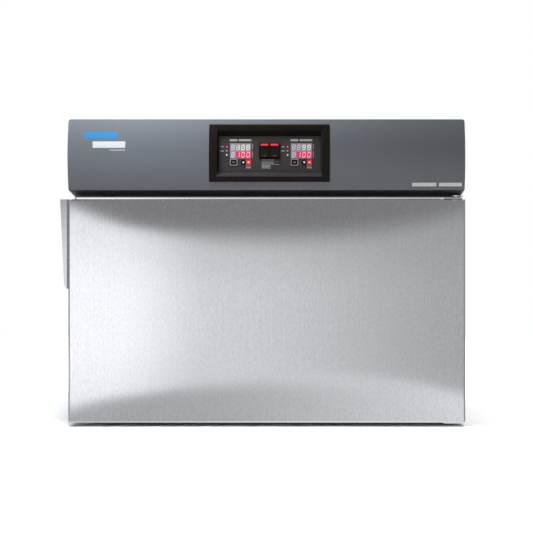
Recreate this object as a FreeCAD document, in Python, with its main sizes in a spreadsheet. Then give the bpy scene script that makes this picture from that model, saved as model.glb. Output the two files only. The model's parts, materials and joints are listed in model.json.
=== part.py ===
import FreeCAD, Part
import math
import operator
import os

import Sketcher
from FreeCAD import Placement, Rotation, Vector

# A counter-top blanket warming cabinet in millimetres: a heated cavity behind one
# right-hung door, under a full-width control head. +X is right seen from the front,
# +Y goes back and +Z up. The origin is on the counter, midway across the body and
# midway from the door's front to the rear panel.

DIMENSIONS = {
    # body shell
    "body_width": 672,
    "body_depth": 450,
    "body_height": 386,
    "foot_height": 8,
    "casing_sheet": 1.2,
    "return_flange": 14,
    "frame_sheet": 1.5,
    "vent_width": 60,
    "vent_height": 4,
    "vent_pitch": 11,
    # cavity and insulation
    "side_wall": 56,
    "top_wall": 34,
    "floor_wall": 34,
    "wiring_space": 25.1,
    "liner_sheet": 1,
    "liner_flange": 12,
    "rear_insulation": 50,
    "slab_setback": 7,
    # heating and sensing
    "cable_radius": 2,
    "cable_gap": 0.3,
    "cable_pitch": 46,
    "cable_margin": 40,
    "probe_radius": 3,
    "probe_reach": 28,
    "probe_drop": 60,
    "probe_tail": 5,
    "limiter_radius": 8,
    "limiter_length": 14,
    "limiter_offset": 60,
    "sensor_clearance": 0.3,
    # racks and shelf
    "rack_standoff": 6,
    "rack_bar": 2,
    "upright_width": 16,
    "upright_inset": 15,
    "upright_setback": 30,
    "rail_reach": 12,
    "rail_inset": 35,
    "rail_first": 60,
    "rail_pitch": 90,
    "stud_radius": 5,
    "stud_neck": 2.5,
    "stud_head": 4.5,
    "stud_head_length": 3,
    "stud_inset": 15,
    "shelf_rod": 3,
    "shelf_edge": 2.6,
    "shelf_wire": 2,
    "shelf_pitch": 30,
    "shelf_side_gap": 1.5,
    "shelf_front_gap": 15,
    "shelf_rear_gap": 1,
    "shelf_rest": 0.3,
    # feet and screws
    "foot_radius": 17,
    "foot_taper": 2,
    "foot_inset": 36,
    "foot_recess": 7,
    "foot_recess_depth": 4,
    "screw_radius": 2,
    "screw_clearance": 0.1,
    "screw_head": 4,
    "screw_head_height": 2,
    "screw_tail": 3.5,
    "foot_screw_tail": 8,
    # door
    "door_overhang": 2,
    "door_drop": 1,
    "door_head_gap": 6.6,
    "door_thickness": 50,
    "door_gap": 10,
    "door_sheet": 1.2,
    "door_panel_sheet": 1,
    "door_edge_radius": 3,
    "gasket_width": 12,
    "gasket_overlap": 2,
    "gasket_clearance": 0.3,
    "magnet_width": 6,
    "magnet_depth": 3,
    "magnet_length": 280,
    # handle
    "handle_length": 156,
    "handle_sheet": 2.5,
    "handle_setback": 3,
    "handle_reach": 14,
    "handle_reach_low": 7,
    "handle_flange": 36,
    "handle_corner": 5,
    "handle_screw_inset": 26,
    # hinges
    "hinge_inset": 12,
    "hinge_plate": 3,
    "hinge_gap": 1,
    "hinge_nose": 10,
    "hinge_leg_gap": 10,
    "hinge_screw_inset": 8,
    "hinge_leg_height": 60,
    "hinge_screw_pitch": 24,
    "pin_radius": 4,
    "pin_fit": 0.05,
    "pin_reach": 13,
    "pin_head": 6,
    "pin_head_height": 1.8,
    "bush_radius": 6,
    "bush_length": 15,
    "bush_flange": 8,
    "bush_flange_height": 0.8,
    # control head
    "head_inset": 0.65,
    "head_height": 128.5,
    "head_sheet": 1.2,
    "trim_height": 8.5,
    "trim_setback": 0.5,
    "fascia_low_reach": 12,
    "fascia_top_reach": 8.8,
    "fascia_radius": 150,
    "fascia_wall": 2.5,
    "chassis_upstand": 22,
    "head_vent_inset": 94,
    "head_vent_rise": 24,
    "cover_vent_inset": 60,
    # control bezel and what it holds
    "bezel_width": 203,
    "bezel_centre": 5,
    "bezel_low_gap": 13.7,
    "bezel_top_gap": 9.3,
    "bezel_proud": 2.5,
    "bezel_fit": 0.2,
    "bezel_floor": 4,
    "recess_depth": 14.5,
    "recess_side_land": 13,
    "recess_low_land": 9.3,
    "recess_top_land": 4.7,
    "recess_flare_top": 14.5,
    "recess_flare_low": 7.5,
    "recess_flare_side": 2.2,
    "overlay_sheet": 0.6,
    "overlay_fit": 0.3,
    "panel_fit": 0.2,
    "display_width": 35.8,
    "display_height": 25.6,
    "display_left_gap": 13.25,
    "display_right_gap": 18.25,
    "display_rise": 5.2,
    "display_proud": 0.3,
    "board_gap": 12,
    "board_side_margin": 12.1,
    "board_margin": 8,
    "board_sheet": 1.6,
    "board_part_depth": 9,
    "led_radius": 1.4,
    "led_pitch": 6.9,
    "led_gap": 5.4,
    "led_proud": 0.6,
    "key_row_gap": 1,
    "key_proud": 1.2,
    "key_body": 7,
    "key_travel": 0.6,
    "key_stem": 1.5,
    "set_key_width": 12.6,
    "set_key_height": 11,
    "down_key_radius": 4.3,
    "down_key_gap": 0.3,
    "up_key_width": 8.6,
    "up_key_height": 9,
    "rocker_width": 14.2,
    "rocker_half_height": 11.9,
    "rocker_crest": 3.5,
    "rocker_dip": 1.5,
    "rocker_root": 4,
    "rocker_rib": 2.1,
    "rocker_tilt": 10,
    "rocker_play": 0.2,
    "rocker_sweep": 0.9,
    "rocker_pin": 1,
    "rocker_pin_length": 0.7,
    "housing_side_rim": 2.2,
    "housing_end_rim": 0.7,
    "housing_proud": 2,
    "housing_depth": 13,
    # power parts in the head
    "transformer_core": 70,
    "transformer_depth": 44,
    "transformer_height": 58,
    "transformer_inset": 154.15,
    "coil_overhang": 10,
    "relay_width": 28,
    "relay_height": 30,
    "relay_foot": 3,
    "terminal_length": 80,
    "terminal_depth": 22,
    "terminal_height": 24,
    "terminal_setback": 40,
    "harness_radius": 4,
    "harness_offset": 120,
    "harness_bend": 8,
    "harness_hole": 7,
    "harness_depth": 15,
    "gland_radius": 10,
    "gland_bore": 4.5,
    "gland_flange": 14,
    "gland_flange_depth": 5,
    "gland_cap": 12,
    "gland_cap_depth": 17,
    "gland_thread": 12,
    "gland_inset": 84,
    "gland_height": 40,
}

SPARE = 1
RACK_LEVELS = 3
SHELF_LEVEL = 1
VENT_ROWS = 7
COVER_VENT_ROWS = 5
LEDS_PER_DISPLAY = 3
OPERATORS = {"+": operator.add, "-": operator.sub, "*": operator.mul, "/": operator.truediv}
AXIS_TURNS = {
    "X": Rotation(Vector(0, 1, 0), 90),
    "Y": Rotation(Vector(1, 0, 0), -90),
    "Z": Rotation(),
}


class Size:
    """A length with its value and the sheet formula that it comes from."""

    def __init__(self, value, formula):
        self.value = value
        self.formula = formula

    def __add__(self, other):
        return combine(self, "+", other)

    def __radd__(self, other):
        return combine(other, "+", self)

    def __sub__(self, other):
        return combine(self, "-", other)

    def __rsub__(self, other):
        return combine(other, "-", self)

    def __mul__(self, other):
        return combine(self, "*", other)

    def __rmul__(self, other):
        return combine(other, "*", self)

    def __truediv__(self, other):
        return combine(self, "/", other)

    def __neg__(self):
        return combine(0, "-", self)


def size_of(number):
    if isinstance(number, Size):
        return number
    return Size(float(number), f"({number})")


def combine(left, sign, right):
    left = size_of(left)
    right = size_of(right)
    value = OPERATORS[sign](left.value, right.value)
    return Size(value, f"({left.formula} {sign} {right.formula})")


def root(size):
    return Size(math.sqrt(size.value), f"sqrt({size.formula})")


class Dimensions:
    """The driving dimensions, each an attribute of its own name."""

    def __init__(self, sheet):
        for row, (alias, number) in enumerate(DIMENSIONS.items(), start=1):
            sheet.set(f"A{row}", alias)
            sheet.set(f"B{row}", str(number))
            sheet.setAlias(f"B{row}", alias)
            setattr(self, alias, Size(float(number), f"Dims.{alias}"))


doc = FreeCAD.newDocument("blanket_warming_cabinet")
D = Dimensions(doc.addObject("Spreadsheet::Sheet", "Dims"))
doc.recompute()
parts = []

# Planes that several pieces share.
rear = (D.body_depth + D.door_gap + D.door_thickness) / 2
frame_front = rear - D.body_depth
frame_back = frame_front + D.frame_sheet
door_back = frame_front - D.door_gap
door_front = door_back - D.door_thickness
body_top = D.foot_height + D.body_height
body_half = D.body_width / 2
inside_half = body_half - D.casing_sheet
inside_top = body_top - D.casing_sheet
pan_top = D.foot_height + D.casing_sheet
panel_front = rear - D.casing_sheet
flange_front = panel_front - D.casing_sheet

cavity_half = body_half - D.side_wall
cavity_floor = D.foot_height + D.floor_wall
cavity_top = body_top - D.top_wall
liner_half = cavity_half + D.liner_sheet
liner_bottom = cavity_floor - D.liner_sheet
liner_top = cavity_top + D.liner_sheet
slab_front = frame_back + D.slab_setback
rear_slab_back = flange_front - D.wiring_space
liner_rear = rear_slab_back - D.rear_insulation
cavity_rear = liner_rear - D.liner_sheet
probe_z = cavity_top - D.probe_drop

door_half = body_half + D.door_overhang
door_bottom = D.foot_height - D.door_drop
door_top = body_top - D.door_head_gap
door_inside_half = door_half - D.door_sheet
door_inside_bottom = door_bottom + D.door_sheet
door_inside_top = door_top - D.door_sheet
door_inside_front = door_front + D.door_sheet
door_panel_front = door_back - D.door_panel_sheet
door_lip_front = door_panel_front - D.door_sheet
pivot_x = door_half - D.hinge_inset
pivot_y = door_back - D.hinge_inset
gasket_inner = cavity_half + D.gasket_overlap
gasket_outer = gasket_inner + D.gasket_width
leg_left = gasket_outer + D.hinge_leg_gap

head_half = body_half - D.head_inset
head_inside_half = head_half - D.head_sheet
head_top = body_top + D.head_height
head_floor = body_top + D.head_sheet
fascia_bottom = body_top + D.trim_height
fascia_low_y = door_front - D.fascia_low_reach
fascia_top_y = door_front - D.fascia_top_reach

upright_inner = cavity_half - D.rack_standoff - D.rack_bar
upright_outer = cavity_half - D.rack_standoff
upright_bottom = cavity_floor + D.upright_inset
upright_top = cavity_top - D.upright_inset
rail_front = frame_back + D.rail_inset
rail_back = cavity_rear - D.rail_inset
rail_top = cavity_floor + D.rail_first + SHELF_LEVEL * D.rail_pitch + D.rack_bar


def fascia_centre():
    """The centre of the fascia's arc, from its two ends and its radius."""
    rise = head_top - fascia_bottom
    lean = fascia_top_y - fascia_low_y
    chord = root(rise * rise + lean * lean)
    setback = root(D.fascia_radius * D.fascia_radius - chord * chord / 4)
    centre_y = (fascia_low_y + fascia_top_y) / 2 + setback * rise / chord
    centre_z = (fascia_bottom + head_top) / 2 - setback * lean / chord
    return centre_y, centre_z


arc_y, arc_z = fascia_centre()
bezel_radius = D.fascia_radius + D.bezel_proud
bezel_bottom = fascia_bottom + D.bezel_low_gap
bezel_top = head_top - D.bezel_top_gap
recess_half = D.bezel_width / 2 - D.recess_side_land - D.recess_flare_side
recess_low = bezel_bottom + D.recess_low_land + D.recess_flare_low
recess_high = bezel_top - D.recess_top_land - D.recess_flare_top
bezel_crest = arc_y - bezel_radius
recess_floor = bezel_crest + D.recess_depth
overlay_front = recess_floor - D.overlay_sheet
bezel_back = recess_floor + D.bezel_floor
board_front = bezel_back + D.board_gap
display_half = D.display_width / 2
display_z = (recess_low + recess_high) / 2 + D.display_rise
display_top = display_z + D.display_height / 2
key_z = display_z - D.display_height / 2 - D.key_row_gap - D.set_key_height / 2
rocker_offset = D.rocker_width / 2 + D.rocker_play + D.rocker_rib / 2
rocker_centres = {
    "left": D.bezel_centre - rocker_offset,
    "right": D.bezel_centre + rocker_offset,
}
housing_half = rocker_offset + D.rocker_width / 2 + D.rocker_play + D.housing_side_rim
housing_half_height = D.rocker_half_height + D.rocker_sweep + D.housing_end_rim
display_centres = {
    "left": D.bezel_centre - housing_half - D.display_left_gap - display_half,
    "right": D.bezel_centre + housing_half + D.display_right_gap + display_half,
}
up_key_offset = display_half - D.up_key_width / 2
key_offsets = {
    "set": D.set_key_width / 2 - display_half,
    "down": up_key_offset - D.up_key_width / 2 - D.down_key_gap - D.down_key_radius,
    "up": up_key_offset,
}
housing_front = overlay_front - D.housing_proud
rocker_pivot_y = housing_front + D.rocker_root / 2
gland_spot = (-(head_inside_half - D.gland_inset), head_floor + D.gland_height)
harness_y = flange_front - D.harness_depth + D.casing_sheet
terminal_back = harness_y - D.terminal_setback


# Helpers for bound primitives, booleans and sketched features.


def bind(item, sizes):
    for path, size in sizes.items():
        item.setExpression(path, size_of(size).formula)


def place(item, x, y, z):
    bind(item, {"Placement.Base.x": x, "Placement.Base.y": y, "Placement.Base.z": z})


def span(first, second):
    """Two positions in rising order."""
    return sorted((size_of(first), size_of(second)), key=lambda size: size.value)


def mirrored(half):
    return (-half, half)


def block(name, xs, ys, zs):
    """A box between two positions on each axis."""
    item = doc.addObject("Part::Box", name)
    xs, ys, zs = span(*xs), span(*ys), span(*zs)
    bind(item, {"Length": xs[1] - xs[0], "Width": ys[1] - ys[0], "Height": zs[1] - zs[0]})
    place(item, xs[0], ys[0], zs[0])
    return item


def rod(name, axis, along, across, radius):
    """A cylinder along one axis, centred on the other two in their X, Y, Z order."""
    item = doc.addObject("Part::Cylinder", name)
    item.Placement = Placement(Vector(0, 0, 0), AXIS_TURNS[axis])
    start, end = span(*along)
    bind(item, {"Radius": radius, "Height": end - start})
    corner = list(across)
    corner.insert("XYZ".index(axis), start)
    place(item, *corner)
    return item


def fuse(name, items):
    item = doc.addObject("Part::MultiFuse", name)
    item.Shapes = items
    return item


def group(name, items):
    item = doc.addObject("Part::Compound", name)
    item.Links = items
    return item


def cut(name, base, tools):
    item = doc.addObject("Part::Cut", name)
    item.Base = base
    item.Tool = tools[0] if len(tools) == 1 else fuse(f"{name}_tools", tools)
    return item


def part(node, item):
    """Names a finished sub-part after its node."""
    item.Label = node
    parts.append(item)
    return item


def body(name):
    return doc.addObject("PartDesign::Body", name)


def sketch(owner, plane, height):
    """An empty sketch on one of the body's origin planes, raised along its normal."""
    item = owner.newObject("Sketcher::SketchObject", f"{owner.Name}_sketch")
    item.AttachmentSupport = [(feature, "") for feature in owner.Origin.OriginFeatures
                              if feature.Role == plane]
    item.MapMode = "FlatFace"
    bind(item, {"AttachmentOffset.Base.z": height})
    return item


def constrain(item, constraint, size):
    index = item.addConstraint(constraint)
    bind(item, {f"Constraints[{index}]": size})


def arc_between(start, end, radius):
    """An arc that bulges left of the way from start to end, and its end indices."""
    chord = end - start
    half = chord.Length / 2
    left = Vector(-chord.y, chord.x, 0).normalize()
    centre = (start + end) * 0.5 - left * math.sqrt(radius * radius - half * half)
    first = math.atan2(end.y - centre.y, end.x - centre.x)
    last = math.atan2(start.y - centre.y, start.x - centre.x)
    if last < first:
        last += 2 * math.pi
    return Part.ArcOfCircle(Part.Circle(centre, Vector(0, 0, 1), radius), first, last), (2, 1)


def draw(item, points, arcs=None):
    """Closes an outline through the points; arcs gives a side's radius by its number."""
    arcs = arcs or {}
    corners = [Vector(size_of(u).value, size_of(v).value, 0) for u, v in points]
    offset = item.GeometryCount
    ends = []
    for number, corner in enumerate(corners):
        after = corners[(number + 1) % len(corners)]
        if number in arcs:
            edge, end_numbers = arc_between(corner, after, arcs[number].value)
        else:
            edge, end_numbers = Part.LineSegment(corner, after), (1, 2)
        item.addGeometry(edge, False)
        ends.append(end_numbers)
    for number, (u, v) in enumerate(points):
        here = offset + number
        before = offset + (number - 1) % len(points)
        start = ends[number][0]
        item.addConstraint(Sketcher.Constraint("Coincident", before, ends[number - 1][1], here, start))
        spot = corners[number]
        constrain(item, Sketcher.Constraint("DistanceX", -1, 1, here, start, spot.x), u)
        constrain(item, Sketcher.Constraint("DistanceY", -1, 1, here, start, spot.y), v)
    for number, radius in arcs.items():
        constrain(item, Sketcher.Constraint("Radius", offset + number, radius.value), radius)


def rectangle(item, us, vs):
    draw(item, [(us[0], vs[0]), (us[1], vs[0]), (us[1], vs[1]), (us[0], vs[1])])


def circle(item, u, v, radius):
    u, v, radius = size_of(u), size_of(v), size_of(radius)
    number = item.addGeometry(Part.Circle(Vector(u.value, v.value, 0), Vector(0, 0, 1), radius.value))
    constrain(item, Sketcher.Constraint("DistanceX", -1, 1, number, 3, u.value), u)
    constrain(item, Sketcher.Constraint("DistanceY", -1, 1, number, 3, v.value), v)
    constrain(item, Sketcher.Constraint("Radius", number, radius.value), radius)


def pad(owner, profile, length, symmetric=False):
    item = owner.newObject("PartDesign::Pad", f"{owner.Name}_pad")
    item.Profile = profile
    item.SideType = "Symmetric" if symmetric else "One side"
    bind(item, {"Length": length})
    return item


def pocket(owner, profile, length, symmetric=False):
    item = owner.newObject("PartDesign::Pocket", f"{owner.Name}_pocket")
    item.Profile = profile
    item.SideType = "Symmetric" if symmetric else "One side"
    bind(item, {"Length": length})
    return item


def fillet(owner, base, radius, wanted):
    """Rounds the edges of a feature that the given test picks."""
    doc.recompute()
    names = [f"Edge{number}" for number, edge in enumerate(base.Shape.Edges, start=1) if wanted(edge)]
    item = owner.newObject("PartDesign::Fillet", f"{owner.Name}_fillet")
    item.Base = (base, names)
    bind(item, {"Radius": radius})
    return item


# Screws and their holes.


def screw(axis, across, seat, outward, tail):
    """A pan head screw: its head stands outward from the seat, its tail runs inward."""
    head_end = seat + outward * D.screw_head_height
    head = rod("screw_head", axis, (seat, head_end), across, D.screw_head)
    shank = rod("screw_shank", axis, (seat, seat - outward * tail), across, D.screw_radius)
    return fuse("screw", [head, shank])


def hole(axis, across, along):
    return rod("screw_hole", axis, along, across, D.screw_radius + D.screw_clearance)


def frame_spots(half, bottom, top, inset, columns, rows):
    """Even screw places round a rectangle: rows up each side, columns between the sides."""
    side = half - inset
    low, high = bottom + inset, top - inset
    spots = []
    for row in range(rows):
        z = low + (high - low) * row / (rows - 1)
        spots += [(-side, z), (side, z)]
    for column in range(1, columns - 1):
        x = side * 2 * column / (columns - 1) - side
        spots += [(x, low), (x, high)]
    return spots


def foot_spots(rows):
    """Foot centres: the front row, the rear row, or both."""
    lines = {"front": frame_front + D.foot_inset, "rear": rear - D.foot_inset}
    side = body_half - D.foot_inset
    return [(x, lines[row]) for row in rows for x in (-side, side)]


panel_spots = frame_spots(inside_half, pan_top, inside_top, D.return_flange / 2, 4, 3)
head_spots = frame_spots(head_inside_half, head_floor, head_top - D.head_sheet, D.return_flange / 2, 4, 2)
door_spots = frame_spots(door_inside_half, door_inside_bottom, door_inside_top, D.return_flange / 2, 4, 3)
foot_screw_top = D.foot_recess_depth + D.foot_screw_tail


# Body shell.


def wrap(name, half, bottom, top, sheet):
    """A folded sheet over both sides and the top, with a return flange at its rear."""
    shell = block(f"{name}_blank", mirrored(half), (frame_front, rear), (bottom, top))
    room = block(f"{name}_room", mirrored(half - sheet), (frame_front - SPARE, flange_front),
                 (bottom - SPARE, top - sheet))
    seat = block(f"{name}_seat", mirrored(half - sheet), (panel_front, rear + SPARE),
                 (bottom - SPARE, top - sheet))
    flange = half - sheet - D.return_flange
    window = block(f"{name}_window", mirrored(flange), (flange_front - SPARE, rear + SPARE),
                   (bottom - SPARE, top - sheet - D.return_flange))
    return shell, [room, seat, window]


def outer_casing():
    shell, rooms = wrap("casing", body_half, D.foot_height, body_top, D.casing_sheet)
    cable_hole = rod("casing_cable_hole", "Z", (inside_top - SPARE, body_top + SPARE),
                     (D.harness_offset, harness_y), D.harness_hole)
    drilled = [hole("Y", spot, (flange_front - SPARE, rear + SPARE)) for spot in panel_spots]
    part("outer_casing", cut("casing", shell, rooms + [cable_hole] + drilled))


def base_pan():
    floor = block("pan_floor", mirrored(inside_half), (frame_front, flange_front), (D.foot_height, pan_top))
    upstand = block("pan_upstand", mirrored(inside_half - D.return_flange - SPARE),
                    (flange_front, panel_front), (D.foot_height, pan_top + D.return_flange))
    drilled = [hole("Z", spot, (D.foot_height - SPARE, pan_top + SPARE))
               for spot in foot_spots(("front", "rear"))]
    drilled += [hole("Y", spot, (flange_front - SPARE, rear)) for spot in panel_spots]
    part("base_pan", cut("pan", fuse("pan_blank", [floor, upstand]), drilled))


def vents(x, ys, bottom, rows):
    """A ladder of slots centred on x, through the given depth."""
    half = D.vent_width / 2
    slots = []
    for row in range(rows):
        low = bottom + row * D.vent_pitch
        slots.append(block("vent", (x - half, x + half), ys, (low, low + D.vent_height)))
    return slots


def rear_panel():
    sheet = block("panel_sheet", mirrored(inside_half), (panel_front, rear), (pan_top, inside_top))
    through = (panel_front - SPARE, rear + SPARE)
    slots = []
    for side in (-1, 1):
        slots += vents(side * inside_half / 2, through, pan_top + cavity_floor, VENT_ROWS)
    drilled = [hole("Y", spot, through) for spot in panel_spots]
    part("rear_panel", cut("panel", sheet, slots + drilled))


def casing_screws():
    items = [screw("Y", spot, rear, 1, D.screw_tail) for spot in panel_spots]
    part("casing_screws", group("casing_screw_set", items))


def hinge_screw_spots(end):
    """Screw places on a hinge bracket's leg, by its end of the door."""
    x = leg_left + D.hinge_screw_inset
    edge, inward = hinge_edge(end)
    start = edge + inward * (D.hinge_leg_height - D.hinge_screw_pitch) / 2
    return [(x, start), (x, start + inward * D.hinge_screw_pitch)]


def hinge_edge(end):
    """The outer face of a hinge bracket's plate, and the way along the door from it."""
    if end == "top":
        return door_top + D.hinge_gap + D.hinge_plate, -1
    return door_bottom - D.hinge_gap - D.hinge_plate, 1


def front_frame():
    owner = body("frame")
    outline = sketch(owner, "XZ_Plane", -frame_back)
    rectangle(outline, mirrored(inside_half), (pan_top, inside_top))
    rectangle(outline, mirrored(cavity_half), (cavity_floor, cavity_top))
    for spot in hinge_screw_spots("top") + hinge_screw_spots("bottom"):
        circle(outline, *spot, D.screw_radius + D.screw_clearance)
    pad(owner, outline, D.frame_sheet)
    part("front_frame", owner)


def rubber_feet():
    items = []
    for x, y in foot_spots(("front", "rear")):
        cone = doc.addObject("Part::Cone", "foot_cone")
        bind(cone, {"Radius1": D.foot_radius - D.foot_taper, "Radius2": D.foot_radius,
                    "Height": D.foot_height})
        place(cone, x, y, 0)
        recess = rod("foot_recess", "Z", (-SPARE, D.foot_recess_depth), (x, y), D.foot_recess)
        through = hole("Z", (x, y), (0, D.foot_height + SPARE))
        items.append(cut("foot", cone, [recess, through]))
    part("rubber_feet", group("foot_set", items))


def foot_screws():
    items = [screw("Z", spot, D.foot_recess_depth, -1, D.foot_screw_tail)
             for spot in foot_spots(("front", "rear"))]
    part("foot_screws", group("foot_screw_set", items))


# Cavity, insulation and heating.


def cavity_liner():
    tub = block("liner_tub", mirrored(liner_half), (frame_back, liner_rear), (liner_bottom, liner_top))
    flange = block("liner_flange", mirrored(liner_half + D.liner_flange),
                   (frame_back, frame_back + D.liner_sheet),
                   (liner_bottom - D.liner_flange, liner_top + D.liner_flange))
    room = block("liner_room", mirrored(cavity_half), (frame_back - SPARE, cavity_rear),
                 (cavity_floor, cavity_top))
    probe_hole = rod("liner_probe_hole", "Y", (cavity_rear - SPARE, liner_rear + SPARE),
                     (D.harness_offset, probe_z), D.probe_radius + D.sensor_clearance)
    part("cavity_liner", cut("liner", fuse("liner_blank", [tub, flange]), [room, probe_hole]))


def side_insulation():
    depth = (slab_front, liner_rear)
    for name, side in (("left", -1), ("right", 1)):
        slab = block(f"slab_{name}", (side * liner_half, side * inside_half), depth, (pan_top, inside_top))
        drilled = [rod("slab_foot_hole", "Z", (pan_top - SPARE, foot_screw_top + SPARE), spot,
                       D.screw_head) for spot in foot_spots(("front",))]
        part(f"insulation_{name}", cut(f"slab_{name}_drilled", slab, drilled))


def level_insulation():
    depth = (slab_front, liner_rear)
    part("insulation_top", block("slab_top", mirrored(liner_half), depth, (liner_top, inside_top)))
    cable_room = 2 * (D.cable_radius + D.cable_gap)
    part("insulation_bottom", block("slab_bottom", mirrored(liner_half), depth,
                                    (pan_top, liner_bottom - cable_room)))


def insulation_rear():
    slab = block("slab_rear", mirrored(inside_half), (liner_rear, rear_slab_back), (pan_top, inside_top))
    through = (liner_rear - SPARE, rear_slab_back + SPARE)
    clearance = D.sensor_clearance
    probe_hole = rod("slab_probe_hole", "Y", through, (D.harness_offset, probe_z),
                     D.probe_radius + clearance)
    limiter_hole = rod("slab_limiter_hole", "Y", through,
                       (D.harness_offset - D.limiter_offset, probe_z),
                       D.limiter_radius + clearance)
    feet = [rod("slab_foot_hole", "Z", (pan_top - SPARE, foot_screw_top + SPARE), spot, D.screw_head)
            for spot in foot_spots(("rear",))]
    part("insulation_rear", cut("slab_rear_drilled", slab, [probe_hole, limiter_hole] + feet))


def heating_cable():
    """A serpentine under the cavity floor: straight runs joined by half-circle turns."""
    owner = body("cable")
    path = sketch(owner, "XY_Plane", liner_bottom - D.cable_gap - D.cable_radius)
    reach = liner_half - D.cable_margin - D.cable_pitch / 2
    start = slab_front + D.cable_margin
    runs = int((liner_rear - start - D.cable_margin).value // D.cable_pitch.value) + 1
    edges = []
    for run in range(runs):
        y = start + run * D.cable_pitch
        way = 1 if run % 2 == 0 else -1
        line = path.addGeometry(Part.LineSegment(Vector(-way * reach.value, y.value, 0),
                                                 Vector(way * reach.value, y.value, 0)), False)
        for end, x in ((1, -way * reach), (2, way * reach)):
            constrain(path, Sketcher.Constraint("DistanceX", -1, 1, line, end, x.value), x)
            constrain(path, Sketcher.Constraint("DistanceY", -1, 1, line, end, y.value), y)
        edges.append((line, way, y.value))
    radius = D.cable_pitch.value / 2
    for (line, way, y), (after, _, _) in zip(edges, edges[1:]):
        circle_form = Part.Circle(Vector(way * reach.value, y + radius, 0), Vector(0, 0, 1), radius)
        first = -math.pi / 2 if way > 0 else math.pi / 2
        turn = path.addGeometry(Part.ArcOfCircle(circle_form, first, first + math.pi), False)
        low, high = (1, 2) if way > 0 else (2, 1)
        path.addConstraint(Sketcher.Constraint("Coincident", line, 2, turn, low))
        path.addConstraint(Sketcher.Constraint("Coincident", after, 1, turn, high))
        centre_x = Sketcher.Constraint("DistanceX", -1, 1, turn, 3, way * reach.value)
        constrain(path, centre_x, way * reach)
    section = sketch(owner, "YZ_Plane", -reach)
    circle(section, start, liner_bottom - D.cable_gap - D.cable_radius, D.cable_radius)
    pipe = owner.newObject("PartDesign::AdditivePipe", "cable_pipe")
    pipe.Profile = section
    pipe.Spine = path
    part("heating_cable", owner)


def temperature_probe():
    """A probe rod with a collar on the cavity's rear wall."""
    spot = (D.harness_offset, probe_z)
    stem = rod("probe_stem", "Y", (cavity_rear - D.probe_reach, rear_slab_back + D.probe_tail), spot,
               D.probe_radius)
    collar = rod("probe_collar", "Y", (cavity_rear - D.probe_radius, cavity_rear), spot,
                 2 * D.probe_radius)
    part("temperature_probe", fuse("probe", [stem, collar]))


def high_limit_thermostat():
    spot = (D.harness_offset - D.limiter_offset, probe_z)
    part("high_limit_thermostat", rod("limiter", "Y", (liner_rear, liner_rear + D.limiter_length), spot,
                                      D.limiter_radius))


# Racks and shelf.


def upright_lines():
    return [rail_front + D.upright_setback, rail_back - D.upright_setback]


def stud_heights():
    return [upright_bottom + D.stud_inset, upright_top - D.stud_inset]


def side_racks():
    half = D.upright_width / 2
    for name, side in (("left", -1), ("right", 1)):
        bars = [block("upright", (side * upright_inner, side * upright_outer), (y - half, y + half),
                      (upright_bottom, upright_top)) for y in upright_lines()]
        for level in range(RACK_LEVELS):
            low = cavity_floor + D.rail_first + level * D.rail_pitch
            bars.append(block("rail", (side * (upright_inner - D.rail_reach), side * upright_inner),
                              (rail_front, rail_back), (low, low + D.rack_bar)))
            bars.append(block("rail_web", (side * upright_inner, side * upright_outer),
                              (rail_front, rail_back), (low, low + D.rack_bar + D.rail_reach)))
        holes = [rod("stud_hole", "X", (side * (upright_inner - SPARE), side * (upright_outer + SPARE)),
                     (y, z), D.stud_neck + D.screw_clearance)
                 for y in upright_lines() for z in stud_heights()]
        part(f"side_rack_{name}", cut(f"rack_{name}", fuse(f"rack_{name}_bars", bars), holes))


def rack_studs():
    items = []
    for side in (-1, 1):
        for y in upright_lines():
            for z in stud_heights():
                steps = ((cavity_half, upright_outer, D.stud_radius),
                         (upright_outer, upright_inner, D.stud_neck),
                         (upright_inner, upright_inner - D.stud_head_length, D.stud_head))
                rods = [rod("stud_step", "X", (side * outer, side * inner), (y, z), radius)
                        for outer, inner, radius in steps]
                items.append(fuse("stud", rods))
    part("rack_studs", group("stud_set", items))


def wire_shelf():
    z = rail_top + D.shelf_rest + D.shelf_rod
    reach = upright_inner - D.shelf_side_gap
    side = reach - D.shelf_rod
    front = frame_back + D.shelf_front_gap + D.shelf_rod
    back = cavity_rear - D.probe_reach - D.shelf_rear_gap - D.shelf_rod
    cross = [rod("shelf_cross", "X", mirrored(reach), (y, z), D.shelf_rod)
             for y in (front, (front + back) / 2, back)]
    edges = [rod("shelf_edge", "Y", (front, back), (x, z), D.shelf_edge) for x in (-side, side)]
    wires = int(2 * side.value // D.shelf_pitch.value)
    pitch = 2 * side / wires
    strands = [rod("shelf_wire", "Y", (front, back), (pitch * number - side, z), D.shelf_wire)
               for number in range(1, wires)]
    part("wire_shelf", fuse("shelf", cross + edges + strands))


# Hinges.


def hinge_brackets():
    """Angle brackets: a leg on the front frame and a plate over or under the door."""
    for end in ("top", "bottom"):
        edge, inward = hinge_edge(end)
        owner = body(f"bracket_{end}")
        outline = sketch(owner, "YZ_Plane", leg_left)
        nose = pivot_y - D.hinge_nose
        leg_front = frame_front - D.hinge_plate
        inner = edge + inward * D.hinge_plate
        leg_end = edge + inward * D.hinge_leg_height
        draw(outline, [(nose, edge), (frame_front, edge), (frame_front, leg_end),
                       (leg_front, leg_end), (leg_front, inner), (nose, inner)])
        pad(owner, outline, pivot_x + D.hinge_nose - leg_left)
        tools = [rod("bracket_pin_hole", "Z", (edge - inward * SPARE, inner + inward * SPARE),
                     (pivot_x, pivot_y), D.pin_radius + D.pin_fit)]
        tools += [hole("Y", spot, (leg_front - SPARE, frame_front + SPARE))
                  for spot in hinge_screw_spots(end)]
        part(f"hinge_bracket_{end}", cut(f"bracket_{end}_drilled", owner, tools))


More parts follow.
